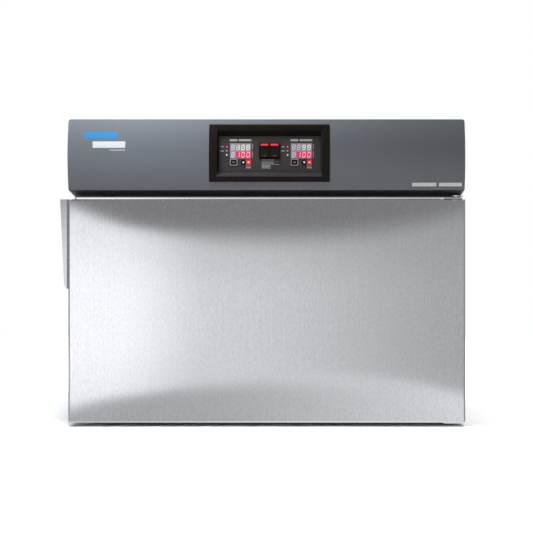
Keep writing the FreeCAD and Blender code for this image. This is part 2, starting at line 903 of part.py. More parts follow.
def hinge_pins():
    spot = (pivot_x, pivot_y)
    top_edge, _ = hinge_edge("top")
    low_edge, _ = hinge_edge("bottom")
    head = rod("pin_head", "Z", (top_edge, top_edge + D.pin_head_height), spot, D.pin_head)
    upper = rod("pin_upper", "Z", (door_top - D.pin_reach, top_edge), spot, D.pin_radius)
    lower = rod("pin_lower", "Z", (low_edge, door_bottom + D.pin_reach), spot, D.pin_radius)
    part("hinge_pins", group("pin_set", [fuse("pin_top", [head, upper]), lower]))


def hinge_screws():
    seat = frame_front - D.hinge_plate
    tail = D.hinge_plate + D.frame_sheet + D.slab_setback / 2
    items = [screw("Y", spot, seat, -1, tail)
             for spot in hinge_screw_spots("top") + hinge_screw_spots("bottom")]
    part("hinge_screws", group("hinge_screw_set", items))


def hinge_bushes():
    spot = (pivot_x, pivot_y)
    items = []
    for face, inward in ((door_top, -1), (door_bottom, 1)):
        barrel = rod("bush_barrel", "Z", (face, face + inward * D.bush_length), spot, D.bush_radius)
        flange = rod("bush_flange", "Z", (face, face - inward * D.bush_flange_height), spot, D.bush_flange)
        bore = rod("bush_bore", "Z", (face - inward * 2 * SPARE, face + inward * (D.bush_length + SPARE)),
                   spot, D.pin_radius + D.pin_fit)
        items.append(cut("bush", fuse("bush_blank", [barrel, flange]), [bore]))
    part("hinge_bushes", group("bush_set", items))


def bush_holes(clearance):
    spot = (pivot_x, pivot_y)
    radius = D.bush_radius + clearance
    return [rod("bush_hole", "Z", (door_top + SPARE, door_top - D.bush_length - clearance), spot, radius),
            rod("bush_hole", "Z", (door_bottom - SPARE, door_bottom + D.bush_length + clearance), spot,
                radius)]


# Door.


def handle_spots():
    """Handle screw places as Y and Z on the door's left side."""
    y = door_front + D.handle_setback + D.handle_sheet + D.handle_flange / 2
    return [(y, door_top - D.handle_screw_inset),
            (y, door_top - D.handle_length + D.handle_screw_inset)]


def handle_holes(tail):
    outer = -(door_half + D.handle_sheet + SPARE)
    return [hole("X", spot, (outer, -door_inside_half + tail)) for spot in handle_spots()]


def door_skin():
    owner = body("skin")
    face = sketch(owner, "XZ_Plane", -door_back)
    rectangle(face, mirrored(door_half), (door_bottom, door_top))
    blank = pad(owner, face, D.door_thickness)
    front = door_front.value
    fillet(owner, blank, D.door_edge_radius,
           lambda edge: all(abs(vertex.Y - front) < D.door_sheet.value for vertex in edge.Vertexes))
    height = (door_inside_bottom, door_inside_top)
    lip = D.return_flange
    room = block("skin_room", mirrored(door_inside_half), (door_inside_front, door_lip_front), height)
    window = block("skin_window", mirrored(door_inside_half - lip), (door_lip_front - SPARE, door_back),
                   (door_inside_bottom + lip, door_inside_top - lip))
    seat = block("skin_seat", mirrored(door_inside_half), (door_panel_front, door_back + SPARE), height)
    drilled = [hole("Y", spot, (door_lip_front - SPARE, door_back)) for spot in door_spots]
    tools = [room, window, seat] + drilled + bush_holes(D.pin_fit) + handle_holes(SPARE)
    part("door_skin", cut("skin_hollow", owner, tools))


def door_inner_panel():
    sheet = block("door_panel_sheet", mirrored(door_inside_half), (door_panel_front, door_back),
                  (door_inside_bottom, door_inside_top))
    drilled = [hole("Y", spot, (door_panel_front - SPARE, door_back + SPARE)) for spot in door_spots]
    part("door_inner_panel", cut("door_panel", sheet, drilled))


def door_insulation():
    slab = block("door_slab", mirrored(door_inside_half), (door_inside_front, door_lip_front),
                 (door_inside_bottom, door_inside_top))
    drilled = [hole("Y", spot, (door_lip_front - D.screw_tail - SPARE, door_back)) for spot in door_spots]
    tools = drilled + bush_holes(D.sensor_clearance)
    tools += handle_holes(D.screw_tail + 2 * SPARE)
    part("door_insulation", cut("door_slab_drilled", slab, tools))


def door_screws():
    tail = D.door_panel_sheet + D.door_sheet + D.screw_tail
    items = [screw("Y", spot, door_back, 1, tail) for spot in door_spots]
    part("door_screws", group("door_screw_set", items))


def magnet(extra):
    """The magnet strip in the gasket's handle side, longer in depth by extra."""
    middle_x = -(gasket_inner + gasket_outer) / 2
    middle_z = (cavity_floor + cavity_top) / 2
    return block("magnet", (middle_x - D.magnet_width / 2, middle_x + D.magnet_width / 2),
                 (door_back - extra, door_back + D.magnet_depth),
                 (middle_z - D.magnet_length / 2, middle_z + D.magnet_length / 2))


def door_gasket():
    inner = D.gasket_overlap
    outer = D.gasket_overlap + D.gasket_width
    ring = block("gasket_ring", mirrored(gasket_outer), (door_back, frame_front - D.gasket_clearance),
                 (cavity_floor - outer, cavity_top + outer))
    window = block("gasket_window", mirrored(gasket_inner), (door_back - SPARE, frame_front),
                   (cavity_floor - inner, cavity_top + inner))
    part("door_gasket", cut("gasket", ring, [window, magnet(SPARE)]))


def gasket_magnets():
    part("gasket_magnets", magnet(0))


def door_handle():
    """A pull on the door's left edge: a tapering wing and a flange on the door's side."""
    owner = body("handle")
    wing_back = door_front + D.handle_setback + D.handle_sheet
    bottom = door_top - D.handle_length
    wing = sketch(owner, "XZ_Plane", -wing_back)
    draw(wing, [(-door_half, bottom), (-door_half, door_top), (-door_half - D.handle_reach, door_top),
                (-door_half - D.handle_reach_low, bottom)])
    base = pad(owner, wing, D.handle_sheet)
    outer = -(door_half + D.handle_reach_low).value
    low = bottom.value
    fillet(owner, base, D.handle_corner,
           lambda edge: all(abs(vertex.X - outer) + abs(vertex.Z - low) < SPARE
                            for vertex in edge.Vertexes))
    flange = sketch(owner, "XY_Plane", bottom)
    rectangle(flange, (-door_half - D.handle_sheet, -door_half), (wing_back - D.handle_sheet,
                                                                  wing_back + D.handle_flange))
    pad(owner, flange, D.handle_length)
    part("door_handle", cut("handle_drilled", owner, handle_holes(SPARE)))


def handle_screws():
    seat = -(door_half + D.handle_sheet)
    tail = D.handle_sheet + D.door_sheet + D.screw_tail
    items = [screw("X", spot, seat, -1, tail) for spot in handle_spots()]
    part("handle_screws", group("handle_screw_set", items))


# Control head.


def head_fascia():
    owner = body("fascia")
    outline = sketch(owner, "YZ_Plane", 0)
    draw(outline, [(fascia_low_y, fascia_bottom), (fascia_top_y, head_top), (frame_front, head_top),
                   (frame_front, fascia_bottom)], {0: D.fascia_radius})
    pad(owner, outline, 2 * head_half, symmetric=True)
    wall = D.fascia_wall
    hollow = sketch(owner, "YZ_Plane", 0)
    draw(hollow, [(fascia_low_y + wall, fascia_bottom + wall), (fascia_top_y + wall, head_top - wall),
                  (frame_front + SPARE, head_top - wall), (frame_front + SPARE, fascia_bottom + wall)],
         {0: D.fascia_radius - wall})
    pocket(owner, hollow, 2 * (head_half - wall), symmetric=True)
    window = sketch(owner, "XZ_Plane", -bezel_crest)
    half = D.bezel_width / 2 + D.bezel_fit
    rectangle(window, (D.bezel_centre - half, D.bezel_centre + half),
              (bezel_bottom - D.bezel_fit, bezel_top + D.bezel_fit))
    pocket(owner, window, frame_front - bezel_crest)
    part("head_fascia", owner)


def head_under_trim():
    owner = body("trim")
    outline = sketch(owner, "YZ_Plane", 0)
    draw(outline, [(frame_front, body_top), (fascia_low_y + D.trim_setback, fascia_bottom - D.trim_setback),
                   (fascia_low_y + D.trim_setback, fascia_bottom), (frame_front, fascia_bottom)])
    pad(owner, outline, 2 * (head_half - D.trim_setback), symmetric=True)
    part("head_under_trim", owner)


def head_chassis():
    """The tray that carries the power parts, with front and rear upstands."""
    floor = block("chassis_floor", mirrored(head_inside_half), (frame_front, flange_front),
                  (body_top, head_floor))
    front = block("chassis_front", mirrored(head_inside_half), (frame_front, frame_front + D.head_sheet),
                  (body_top, body_top + D.chassis_upstand))
    back = block("chassis_back", mirrored(head_inside_half - D.return_flange - SPARE),
                 (flange_front, panel_front), (body_top, body_top + D.chassis_upstand))
    cable_hole = rod("chassis_cable_hole", "Z", (body_top - SPARE, head_floor + SPARE),
                     (D.harness_offset, harness_y), D.harness_hole)
    drilled = [hole("Y", spot, (flange_front - SPARE, rear)) for spot in head_spots]
    part("head_chassis", cut("chassis", fuse("chassis_blank", [floor, front, back]),
                             [cable_hole] + drilled))


def head_cover():
    shell, rooms = wrap("cover", head_half, body_top, head_top, D.head_sheet)
    drilled = [hole("Y", spot, (flange_front - SPARE, rear + SPARE)) for spot in head_spots]
    slots = []
    for row in range(COVER_VENT_ROWS):
        low = head_floor + D.chassis_upstand + row * D.vent_pitch
        vent_back = panel_front - D.cover_vent_inset
        slots.append(block("cover_vent", mirrored(head_half + SPARE), (vent_back - D.vent_width, vent_back),
                           (low, low + D.vent_height)))
    part("head_cover", cut("cover", shell, rooms + drilled + slots))


def head_rear_panel():
    sheet = block("head_panel_sheet", mirrored(head_inside_half), (panel_front, rear),
                  (head_floor, head_top - D.head_sheet))
    through = (panel_front - SPARE, rear + SPARE)
    slots = vents(head_inside_half - D.head_vent_inset, through, head_floor + D.head_vent_rise, VENT_ROWS)
    gland_hole = rod("gland_hole", "Y", through, gland_spot, D.gland_radius + D.screw_clearance)
    drilled = [hole("Y", spot, through) for spot in head_spots]
    part("head_rear_panel", cut("head_panel", sheet, slots + [gland_hole] + drilled))


def head_screws():
    items = [screw("Y", spot, rear, 1, D.screw_tail) for spot in head_spots]
    part("head_screws", group("head_screw_set", items))


# Control bezel, displays, lamps, keys and rockers.


def recess(extra):
    """The bezel's flared recess, deepened by extra."""
    item = doc.addObject("Part::Wedge", "recess")
    bind(item, {
        "Xmin": -recess_half - D.recess_flare_side, "Xmax": recess_half + D.recess_flare_side,
        "Zmin": recess_low - D.recess_flare_low, "Zmax": recess_high + D.recess_flare_top,
        "X2min": -recess_half, "X2max": recess_half, "Z2min": recess_low, "Z2max": recess_high,
        "Ymin": bezel_crest - extra, "Ymax": recess_floor,
    })
    place(item, D.bezel_centre, 0, 0)
    return item


def around(x, half_width, clearance):
    return (x - half_width - clearance, x + half_width + clearance)


def led_spots(display_x):
    x = display_x - display_half - D.led_gap
    middle = (LEDS_PER_DISPLAY - 1) / 2
    return [(x, display_z + (middle - number) * D.led_pitch) for number in range(LEDS_PER_DISPLAY)]


def key_forms(display_x, along, clearance):
    """The three key shapes beside one display, between two depths."""
    places = {name: display_x + offset for name, offset in key_offsets.items()}
    return {
        "set": block("set_form", around(places["set"], D.set_key_width / 2, clearance), along,
                     around(key_z, D.set_key_height / 2, clearance)),
        "down": rod("down_form", "Y", along, (places["down"], key_z), D.down_key_radius + clearance),
        "up": block("up_form", around(places["up"], D.up_key_width / 2, clearance), along,
                    around(key_z, D.up_key_height / 2, clearance)),
    }


def control_holes(along):
    """The openings that the recess floor and the overlay share."""
    tools = [block("housing_hole", around(D.bezel_centre, housing_half, D.panel_fit), along,
                   around(display_z, housing_half_height, D.panel_fit))]
    for x in display_centres.values():
        tools.append(block("display_hole", around(x, display_half, D.panel_fit), along,
                           around(display_z, D.display_height / 2, D.panel_fit)))
        tools += [rod("led_hole", "Y", along, spot, D.led_radius + D.panel_fit) for spot in led_spots(x)]
        tools += key_forms(x, along, D.overlay_fit).values()
    return tools


def face_at(z):
    """The Y of the bezel's curved face at a height."""
    rise = z - arc_z
    return arc_y - root(bezel_radius * bezel_radius - rise * rise)


def control_bezel():
    owner = body("bezel")
    outline = sketch(owner, "YZ_Plane", D.bezel_centre)
    draw(outline, [(face_at(bezel_bottom), bezel_bottom), (face_at(bezel_top), bezel_top),
                   (bezel_back, bezel_top), (bezel_back, bezel_bottom)], {0: bezel_radius})
    pad(owner, outline, D.bezel_width, symmetric=True)
    through = (recess_floor - SPARE, bezel_back + SPARE)
    part("control_bezel", cut("bezel_hollow", owner, [recess(SPARE)] + control_holes(through)))


def control_overlay():
    sheet = block("overlay_sheet", around(D.bezel_centre, recess_half, -D.overlay_fit),
                  (overlay_front, recess_floor), (recess_low + D.overlay_fit, recess_high - D.overlay_fit))
    through = (overlay_front - SPARE, recess_floor + SPARE)
    part("control_overlay", cut("overlay", sheet, control_holes(through)))


def displays():
    for side, x in display_centres.items():
        module = block(f"display_module_{side}", around(x, display_half, 0),
                       (overlay_front - D.display_proud, board_front),
                       around(display_z, D.display_height / 2, 0))
        part(f"display_{side}", module)


def indicator_leds():
    along = (overlay_front - D.led_proud, board_front)
    items = [rod("led", "Y", along, spot, D.led_radius)
             for x in display_centres.values() for spot in led_spots(x)]
    part("indicator_leds", group("led_set", items))


def keys():
    front = overlay_front - D.key_proud
    back = front + D.key_body
    stem_end = board_front - D.key_travel - D.panel_fit
    for side, x in display_centres.items():
        for name, form in key_forms(x, (front, back), 0).items():
            stem = rod("key_stem", "Y", (back, stem_end), (x + key_offsets[name], key_z), D.key_stem)
            part(f"{name}_key_{side}", fuse(f"{name}_key", [form, stem]))


def rocker_housing():
    depth = (housing_front, housing_front + D.housing_depth)
    blank = block("housing_blank", around(D.bezel_centre, housing_half, 0), depth,
                  around(display_z, housing_half_height, 0))
    through = (depth[0] - SPARE, depth[1] + SPARE)
    tools = []
    for x in rocker_centres.values():
        tools.append(block("rocker_room", around(x, D.rocker_width / 2, D.rocker_play), through,
                           around(display_z, D.rocker_half_height, D.rocker_sweep)))
        reach = D.rocker_width / 2 + D.rocker_pin_length + D.rocker_play
        tools.append(rod("rocker_pin_hole", "X", (x - reach, x + reach), (rocker_pivot_y, display_z),
                         D.rocker_pin + D.pin_fit))
    part("rocker_housing", cut("housing", blank, tools))


def rockers():
    """Rocker caps with a shallow valley, tipped about their pins with the top pressed."""
    tall = D.rocker_half_height
    crest, dip, back = -D.rocker_crest, -D.rocker_dip, D.rocker_root
    for side, x in rocker_centres.items():
        owner = body(f"rocker_{side}_body")
        outline = sketch(owner, "YZ_Plane", 0)
        draw(outline, [(crest, -tall), (dip, 0), (crest, tall), (0, tall), (back, tall / 2),
                       (back, -tall / 2), (0, -tall)])
        pad(owner, outline, D.rocker_width, symmetric=True)
        pins = sketch(owner, "YZ_Plane", 0)
        circle(pins, 0, 0, D.rocker_pin)
        pad(owner, pins, D.rocker_width + 2 * D.rocker_pin_length, symmetric=True)
        owner.Placement = Placement(Vector(0, 0, 0), Rotation(Vector(1, 0, 0), -D.rocker_tilt.value))
        place(owner, x, rocker_pivot_y, display_z)
        part(f"rocker_{side}", owner)


def control_boards():
    items = []
    for x in display_centres.values():
        board_back = board_front + D.board_sheet
        sheet = block("board", around(x, display_half, D.board_side_margin), (board_front, board_back),
                      (key_z - D.board_margin, display_top + D.board_margin))
        plug = block("board_plug", around(x, display_half, 0), (board_back, board_back + D.board_part_depth),
                     around(display_z, D.board_margin, 0))
        items.append(fuse("board_and_plug", [sheet, plug]))
    part("control_boards", group("board_set", items))


# Power parts.


def power_relays():
    items = []
    for number in (1, 2):
        x = -number * 2 * D.relay_width
        foot = block("relay_foot", around(x, D.relay_width / 2, D.relay_foot), (-D.relay_width, 0),
                     (head_floor, head_floor + D.relay_foot))
        case = block("relay_case", around(x, D.relay_width / 2, 0), (-D.relay_width, 0),
                     (head_floor, head_floor + D.relay_height))
        items.append(fuse("relay", [foot, case]))
    part("power_relays", group("relay_set", items))


def transformer():
    x = D.transformer_inset - head_inside_half
    half = D.transformer_core / 2
    deep = D.transformer_depth / 2
    top = head_floor + D.transformer_height
    core = block("core", around(x, half, 0), mirrored(deep), (head_floor, top))
    coil = block("coil", around(x, half, -D.coil_overhang), mirrored(deep + D.coil_overhang),
                 (head_floor + D.coil_overhang, top - D.coil_overhang))
    part("transformer", fuse("transformer_body", [core, coil]))


def terminal_block():
    ends = around(D.harness_offset, D.terminal_length / 2, 0)
    part("terminal_block", block("terminal", ends, (terminal_back - D.terminal_depth, terminal_back),
                                 (head_floor, head_floor + D.terminal_height)))


def wiring_harness():
    """A bundle from the terminal block down behind the rear insulation to the probe."""
    owner = body("harness")
    path = sketch(owner, "YZ_Plane", D.harness_offset)
    bend = D.harness_bend
    upper = head_floor + D.terminal_height / 2
    lower = probe_z
    start_y = terminal_back
    end_y = rear_slab_back + D.probe_tail
    corners = [(start_y, upper), (harness_y - bend, upper), (harness_y, upper - bend),
               (harness_y, lower + bend / 2), (harness_y - bend / 2, lower), (end_y, lower)]
    joins = []
    for number, (first, last) in enumerate(zip(corners, corners[1:])):
        a = Vector(first[0].value, first[1].value, 0)
        b = Vector(last[0].value, last[1].value, 0)
        if number % 2 == 0:
            edge, ends = Part.LineSegment(a, b), (1, 2)
        else:
            edge, ends = arc_between(a, b, abs(b.x - a.x))
        joins.append((path.addGeometry(edge, False), ends, first, last))
    for index, ends, first, last in joins:
        for end, (u, v) in zip(ends, (first, last)):
            constrain(path, Sketcher.Constraint("DistanceX", -1, 1, index, end, u.value), u)
            constrain(path, Sketcher.Constraint("DistanceY", -1, 1, index, end, v.value), v)
    constrain(path, Sketcher.Constraint("Radius", joins[1][0], bend.value), bend)
    constrain(path, Sketcher.Constraint("Radius", joins[3][0], bend.value / 2), bend / 2)
    section = sketch(owner, "XZ_Plane", -start_y)
    circle(section, D.harness_offset, upper, D.harness_radius)
    pipe = owner.newObject("PartDesign::AdditivePipe", "harness_pipe")
    pipe.Profile = section
    pipe.Spine = path
    part("wiring_harness", owner)


def cord_gland():
    """A strain relief through the head's rear panel, bored for a round cord."""
    thread = rod("gland_thread", "Y", (rear - D.gland_thread, rear), gland_spot, D.gland_radius)
    flange_end = rear + D.gland_flange_depth
    flange = rod("gland_flange", "Y", (rear, flange_end), gland_spot, D.gland_flange)
    cap_end = flange_end + D.gland_cap_depth
    cap = rod("gland_cap", "Y", (flange_end, cap_end), gland_spot, D.gland_cap)
    bore = rod("gland_bore", "Y", (rear - D.gland_thread - SPARE, cap_end + SPARE), gland_spot, D.gland_bore)
    part("cord_gland", cut("gland", fuse("gland_blank", [thread, flange, cap]), [bore]))


def build():
    """Every sub-part, from the shell inward and from the body up to the head."""
    for make in (outer_casing, base_pan, rear_panel, casing_screws, front_frame, rubber_feet, foot_screws,
                 cavity_liner, side_insulation, level_insulation, insulation_rear, heating_cable,
                 temperature_probe, high_limit_thermostat, side_racks, rack_studs, wire_shelf,
                 hinge_brackets, hinge_pins, hinge_screws, hinge_bushes, door_skin, door_inner_panel,
                 door_insulation, door_screws, door_gasket, gasket_magnets, door_handle, handle_screws,
                 head_fascia, head_under_trim, head_chassis, head_cover, head_rear_panel, head_screws,
                 control_bezel, control_overlay, displays, indicator_leds, keys, rocker_housing, rockers,
                 control_boards, power_relays, transformer, terminal_block, wiring_harness, cord_gland):
        make()
    doc.recompute()


def check():
    for item in doc.Objects:
        if "Invalid" in item.State or "Error" in item.State:
            raise RuntimeError(f"{item.Label} did not recompute")
    for item in parts:
        if item.Shape.isNull() or not item.Shape.isValid() or not item.Shape.Solids:
            raise RuntimeError(f"{item.Label} has no valid solid")


def export():
    os.makedirs("parts", exist_ok=True)
    for item in parts:
        item.Shape.exportStep(os.path.join("parts", f"{item.Label}.step"))


build()
check()
export()
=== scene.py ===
"""Looks for the blanket warming cabinet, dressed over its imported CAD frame, in metres."""

import json
import math

import bmesh
import bpy
from mathutils import Matrix, Vector


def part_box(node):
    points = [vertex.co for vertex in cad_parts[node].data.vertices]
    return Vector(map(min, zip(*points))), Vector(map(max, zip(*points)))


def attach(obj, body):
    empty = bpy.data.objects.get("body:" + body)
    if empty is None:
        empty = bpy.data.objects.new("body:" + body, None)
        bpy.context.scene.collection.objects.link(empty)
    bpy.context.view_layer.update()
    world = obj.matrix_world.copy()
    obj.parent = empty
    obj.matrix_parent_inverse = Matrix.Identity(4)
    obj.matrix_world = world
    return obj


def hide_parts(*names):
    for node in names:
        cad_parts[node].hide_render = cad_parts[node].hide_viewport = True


MM = 0.001

# Sheet metal
CROWN = 1.4 * MM
DOOR_BEND = 3 * MM
BEND_HOLD = 0.4 * MM
SHEET = 1.2 * MM
FLANGE = 14 * MM
FASCIA_EDGE = 1.6 * MM
FASCIA_CORNER = 4 * MM
FASCIA_RADIUS = 150 * MM
WINDOW_GAP = 0.2 * MM
WELD = 0.01 * MM

# Control panel
BEZEL_CORNER = 3 * MM
BEZEL_PROUD = 2.5 * MM
MOUTH_SIDE = 13 * MM
MOUTH_LOW = 9.3 * MM
MOUTH_HIGH = 4.7 * MM
FLARE_SIDE = 2.2 * MM
FLARE_LOW = 7.5 * MM
FLARE_HIGH = 14.5 * MM
PRINT = 0.05 * MM
ROCKER_TILT = math.radians(10)
SIDES = ("left", "right")

# Readouts: two rows of four cells, the segments that a figure lights, and where the segments
# run from and to in a digit that is two wide and two tall
READOUTS = {"left": (" 108", " 100"), "right": ("  99", " 100")}
SEGMENTS_LIT = {"0": "abcdef", "1": "bc", "8": "abcdefg", "9": "abcdfg"}
SEGMENTS = {
    "a": (-1, 1, 1, 1), "g": (-1, 0, 1, 0), "d": (-1, -1, 1, -1), "f": (-1, 0, -1, 1),
    "b": (1, 0, 1, 1), "e": (-1, -1, -1, 0), "c": (1, -1, 1, 0),
}
DIGIT_WIDTH = 4.3 * MM
DIGIT_HEIGHT = 8.3 * MM
DIGIT_STROKE = 1.25 * MM
DIGIT_SLANT = 0.12

# Stage and camera: the gains lift the floor to white at the part's sides and far from it
FLOOR_HALF = 3.0
FLOOR_GAIN_LEFT = 1.13
FLOOR_GAIN_RIGHT = 1.9
FLOOR_GAIN_FAR = 2.3
FLOOR_SIDE = 0.34
FLOOR_NEAR = 0.55
FLOOR_FAR = 1.3
FIRST_BOUNCE_DEPTH = 1.5
CAMERA_PLACE = (0.0703, -2.783, 0.273)
CAMERA_LENS = 100.4
CAMERA_SHIFT = -0.078


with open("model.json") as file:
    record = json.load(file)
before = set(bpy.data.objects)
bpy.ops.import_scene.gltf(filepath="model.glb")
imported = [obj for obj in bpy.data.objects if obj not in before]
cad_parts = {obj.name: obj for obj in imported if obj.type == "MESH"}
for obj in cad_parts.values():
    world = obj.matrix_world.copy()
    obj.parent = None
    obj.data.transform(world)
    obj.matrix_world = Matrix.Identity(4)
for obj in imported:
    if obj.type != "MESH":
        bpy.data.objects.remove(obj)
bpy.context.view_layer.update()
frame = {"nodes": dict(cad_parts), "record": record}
nodes = frame["nodes"]


# Materials.


class NodeTree:
    """A node tree. Every call to add makes a node and wires or sets its inputs."""

    def __init__(self, tree):
        self.tree = tree

    def add(self, kind, values=None, **settings):
        node = self.tree.nodes.new(kind)
        for key, value in settings.items():
            setattr(node, key, value)
        self.feed(node, values or {})
        return node

    def feed(self, node, values):
        for key, value in values.items():
            if isinstance(value, bpy.types.NodeSocket):
                self.tree.links.new(value, node.inputs[key])
            else:
                node.inputs[key].default_value = value


class Finish(NodeTree):
    """One material's node tree, with the textures that the finishes share."""

    def __init__(self, name):
        self.material = bpy.data.materials.new(name)
        self.material.use_nodes = True
        super().__init__(self.material.node_tree)
        self.surface = self.tree.nodes["Principled BSDF"]
        self.output = self.tree.nodes["Material Output"]
        self.coords = self.add("ShaderNodeTexCoord").outputs["Object"]

    def noise(self, scale, detail=3.0, stretch=(1, 1, 1)):
        mapped = self.add("ShaderNodeMapping", {"Vector": self.coords, "Scale": stretch})
        return self.add("ShaderNodeTexNoise", {
            "Vector": mapped.outputs["Vector"], "Scale": scale, "Detail": detail,
        }).outputs["Fac"]

    def spread(self, value, low, high, start=0.3, end=0.7):
        """A texture's middle values carried to the range from low to high."""
        return self.add("ShaderNodeMapRange", {
            "Value": value, "From Min": start, "From Max": end, "To Min": low, "To Max": high,
        }).outputs["Result"]

    def tint(self, color, amount):
        """The colour made lighter or darker by a varying amount around one."""
        scaled = self.add("ShaderNodeVectorMath", {0: color, "Scale": amount}, operation="SCALE")
        return scaled.outputs["Vector"]

    def bump(self, height, distance):
        node = self.add("ShaderNodeBump", {"Height": height, "Distance": distance})
        return node.outputs["Normal"]

    def shade(self, **values):
        """Sets the surface's inputs by their names and gives the material."""
        self.feed(self.surface, {key.replace("_", " "): value for key, value in values.items()})
        return self.material


def brushed(name, color, roughness):
    """Satin sheet with upright strokes, broken up by short flecks."""
    finish = Finish(name)
    strokes = finish.noise(900, 2, (1, 1, 0.012))
    flecks = finish.noise(460, 2, (1, 1, 0.35))
    cloud = finish.noise(9)
    texture = finish.add("ShaderNodeMix", {"Factor": 0.7, "A": strokes, "B": flecks},
                         data_type="FLOAT").outputs["Result"]
    return finish.shade(
        Base_Color=finish.tint(color, finish.spread(texture, 0.9, 1.1)),
        Metallic=1.0, Anisotropic=0.35,
        Roughness=finish.spread(cloud, roughness * 0.92, roughness * 1.08),
        Normal=finish.bump(texture, 0.002 * MM),
    )


def painted(name, color):
    """Satin metallic paint with fine flakes."""
    finish = Finish(name)
    flakes = finish.noise(2600, 1)
    cloud = finish.noise(30, 2)
    return finish.shade(
        Base_Color=finish.tint(color, finish.spread(flakes, 0.78, 1.22)),
        Metallic=0.35, Coat_Weight=0.15, Coat_Roughness=0.3,
        Roughness=finish.spread(cloud, 0.40, 0.46),
        Normal=finish.bump(finish.noise(900, 2), 0.02 * MM),
    )


def moulded(name, color, roughness, grain=1600, depth=0.02 * MM, shine=0.5):
    """Plastic with a fine spark-eroded texture."""
    finish = Finish(name)
    texture = finish.noise(grain, 2)
    return finish.shade(
        Base_Color=finish.tint(color, finish.spread(finish.noise(45), 0.88, 1.12)),
        Roughness=finish.spread(texture, roughness * 0.9, roughness * 1.1),
        Specular_IOR_Level=shine, Normal=finish.bump(texture, depth),
    )


def soft_rubber(name, color):
    """Dusty rubber without shine."""
    finish = Finish(name)
    dust = finish.noise(140, 4)
    return finish.shade(
        Base_Color=finish.tint(color, finish.spread(dust, 0.85, 1.2)),
        Roughness=finish.spread(dust, 0.62, 0.78), Sheen_Weight=0.15,
        Normal=finish.bump(finish.noise(900, 2), 0.03 * MM),
    )


def fibre_board(name, color):
    """Pressed mineral fibre: fine strands in layers."""
    finish = Finish(name)
    strands = finish.noise(60, 5, (1, 1, 6))
    return finish.shade(
        Base_Color=finish.tint(color, finish.spread(strands, 0.7, 1.15)),
        Roughness=0.95, Sheen_Weight=0.3,
        Normal=finish.bump(strands, 0.6 * MM),
    )


def spangled(name, color):
    """Galvanised sheet with its crystal pattern."""
    finish = Finish(name)
    cells = finish.add("ShaderNodeTexVoronoi", {"Vector": finish.coords, "Scale": 90.0})
    grey = finish.add("ShaderNodeRGBToBW", {"Color": cells.outputs["Color"]}).outputs["Val"]
    return finish.shade(
        Base_Color=finish.tint(color, finish.spread(grey, 0.85, 1.1)), Metallic=1.0,
        Roughness=finish.spread(grey, 0.32, 0.5),
    )


def machined(name, color, roughness):
    """Turned or plated metal with faint tool marks."""
    finish = Finish(name)
    marks = finish.noise(2200, 1)
    return finish.shade(
        Base_Color=finish.tint(color, finish.spread(finish.noise(120), 0.86, 1.08)),
        Metallic=1.0, Roughness=finish.spread(marks, roughness * 0.85, roughness * 1.15),
        Normal=finish.bump(marks, 0.006 * MM),
    )


def printed_board(name, color):
    """Solder mask over copper tracks."""
    finish = Finish(name)
    darker, lighter, track = ((*[c * factor for c in color], 1) for factor in (0.9, 1.1, 1.9))
    tracks = finish.add("ShaderNodeTexBrick", {
        "Vector": finish.coords, "Scale": 120.0, "Mortar Size": 0.03,
        "Color1": darker, "Color2": lighter, "Mortar": track,
    })
    return finish.shade(
        Base_Color=tracks.outputs["Color"], Roughness=finish.spread(finish.noise(300), 0.25, 0.4),
    )


def laminated(name, color):
    """Varnished core plates seen on edge."""
    finish = Finish(name)
    plates = finish.add("ShaderNodeTexWave", {
        "Vector": finish.coords, "Scale": 260.0, "Distortion": 0.3,
    }, bands_direction="Y").outputs["Fac"]
    return finish.shade(
        Base_Color=finish.tint(color, finish.spread(plates, 0.7, 1.25, 0, 1)), Metallic=0.6,
        Roughness=0.45, Normal=finish.bump(plates, 0.1 * MM),
    )


def tinted_window(name, color):
    """A glossy display window with a faint mottle behind it."""
    finish = Finish(name)
    mottle = finish.noise(400)
    tinted = finish.tint(color, finish.spread(mottle, 0.93, 1.07))
    return finish.shade(
        Base_Color=tinted, Emission_Color=tinted, Emission_Strength=0.12,
        Roughness=finish.spread(finish.noise(60), 0.14, 0.22),
    )


def glowing(name, color, strength):
    """A lit lamp or digit: coloured plastic with its own light."""
    finish = Finish(name)
    uneven = finish.spread(finish.noise(700, 2), 0.85, 1.15)
    return finish.shade(
        Base_Color=finish.tint([c / 2 for c in color], uneven),
        Emission_Color=finish.tint(color, uneven), Emission_Strength=strength, Roughness=0.3,
    )


def ink(name, color):
    """Screen print, a little uneven."""
    finish = Finish(name)
    speckle = finish.noise(2200, 2)
    return finish.shade(
        Base_Color=finish.tint(color, finish.spread(speckle, 0.85, 1.1)),
        Roughness=finish.spread(speckle, 0.45, 0.6),
    )


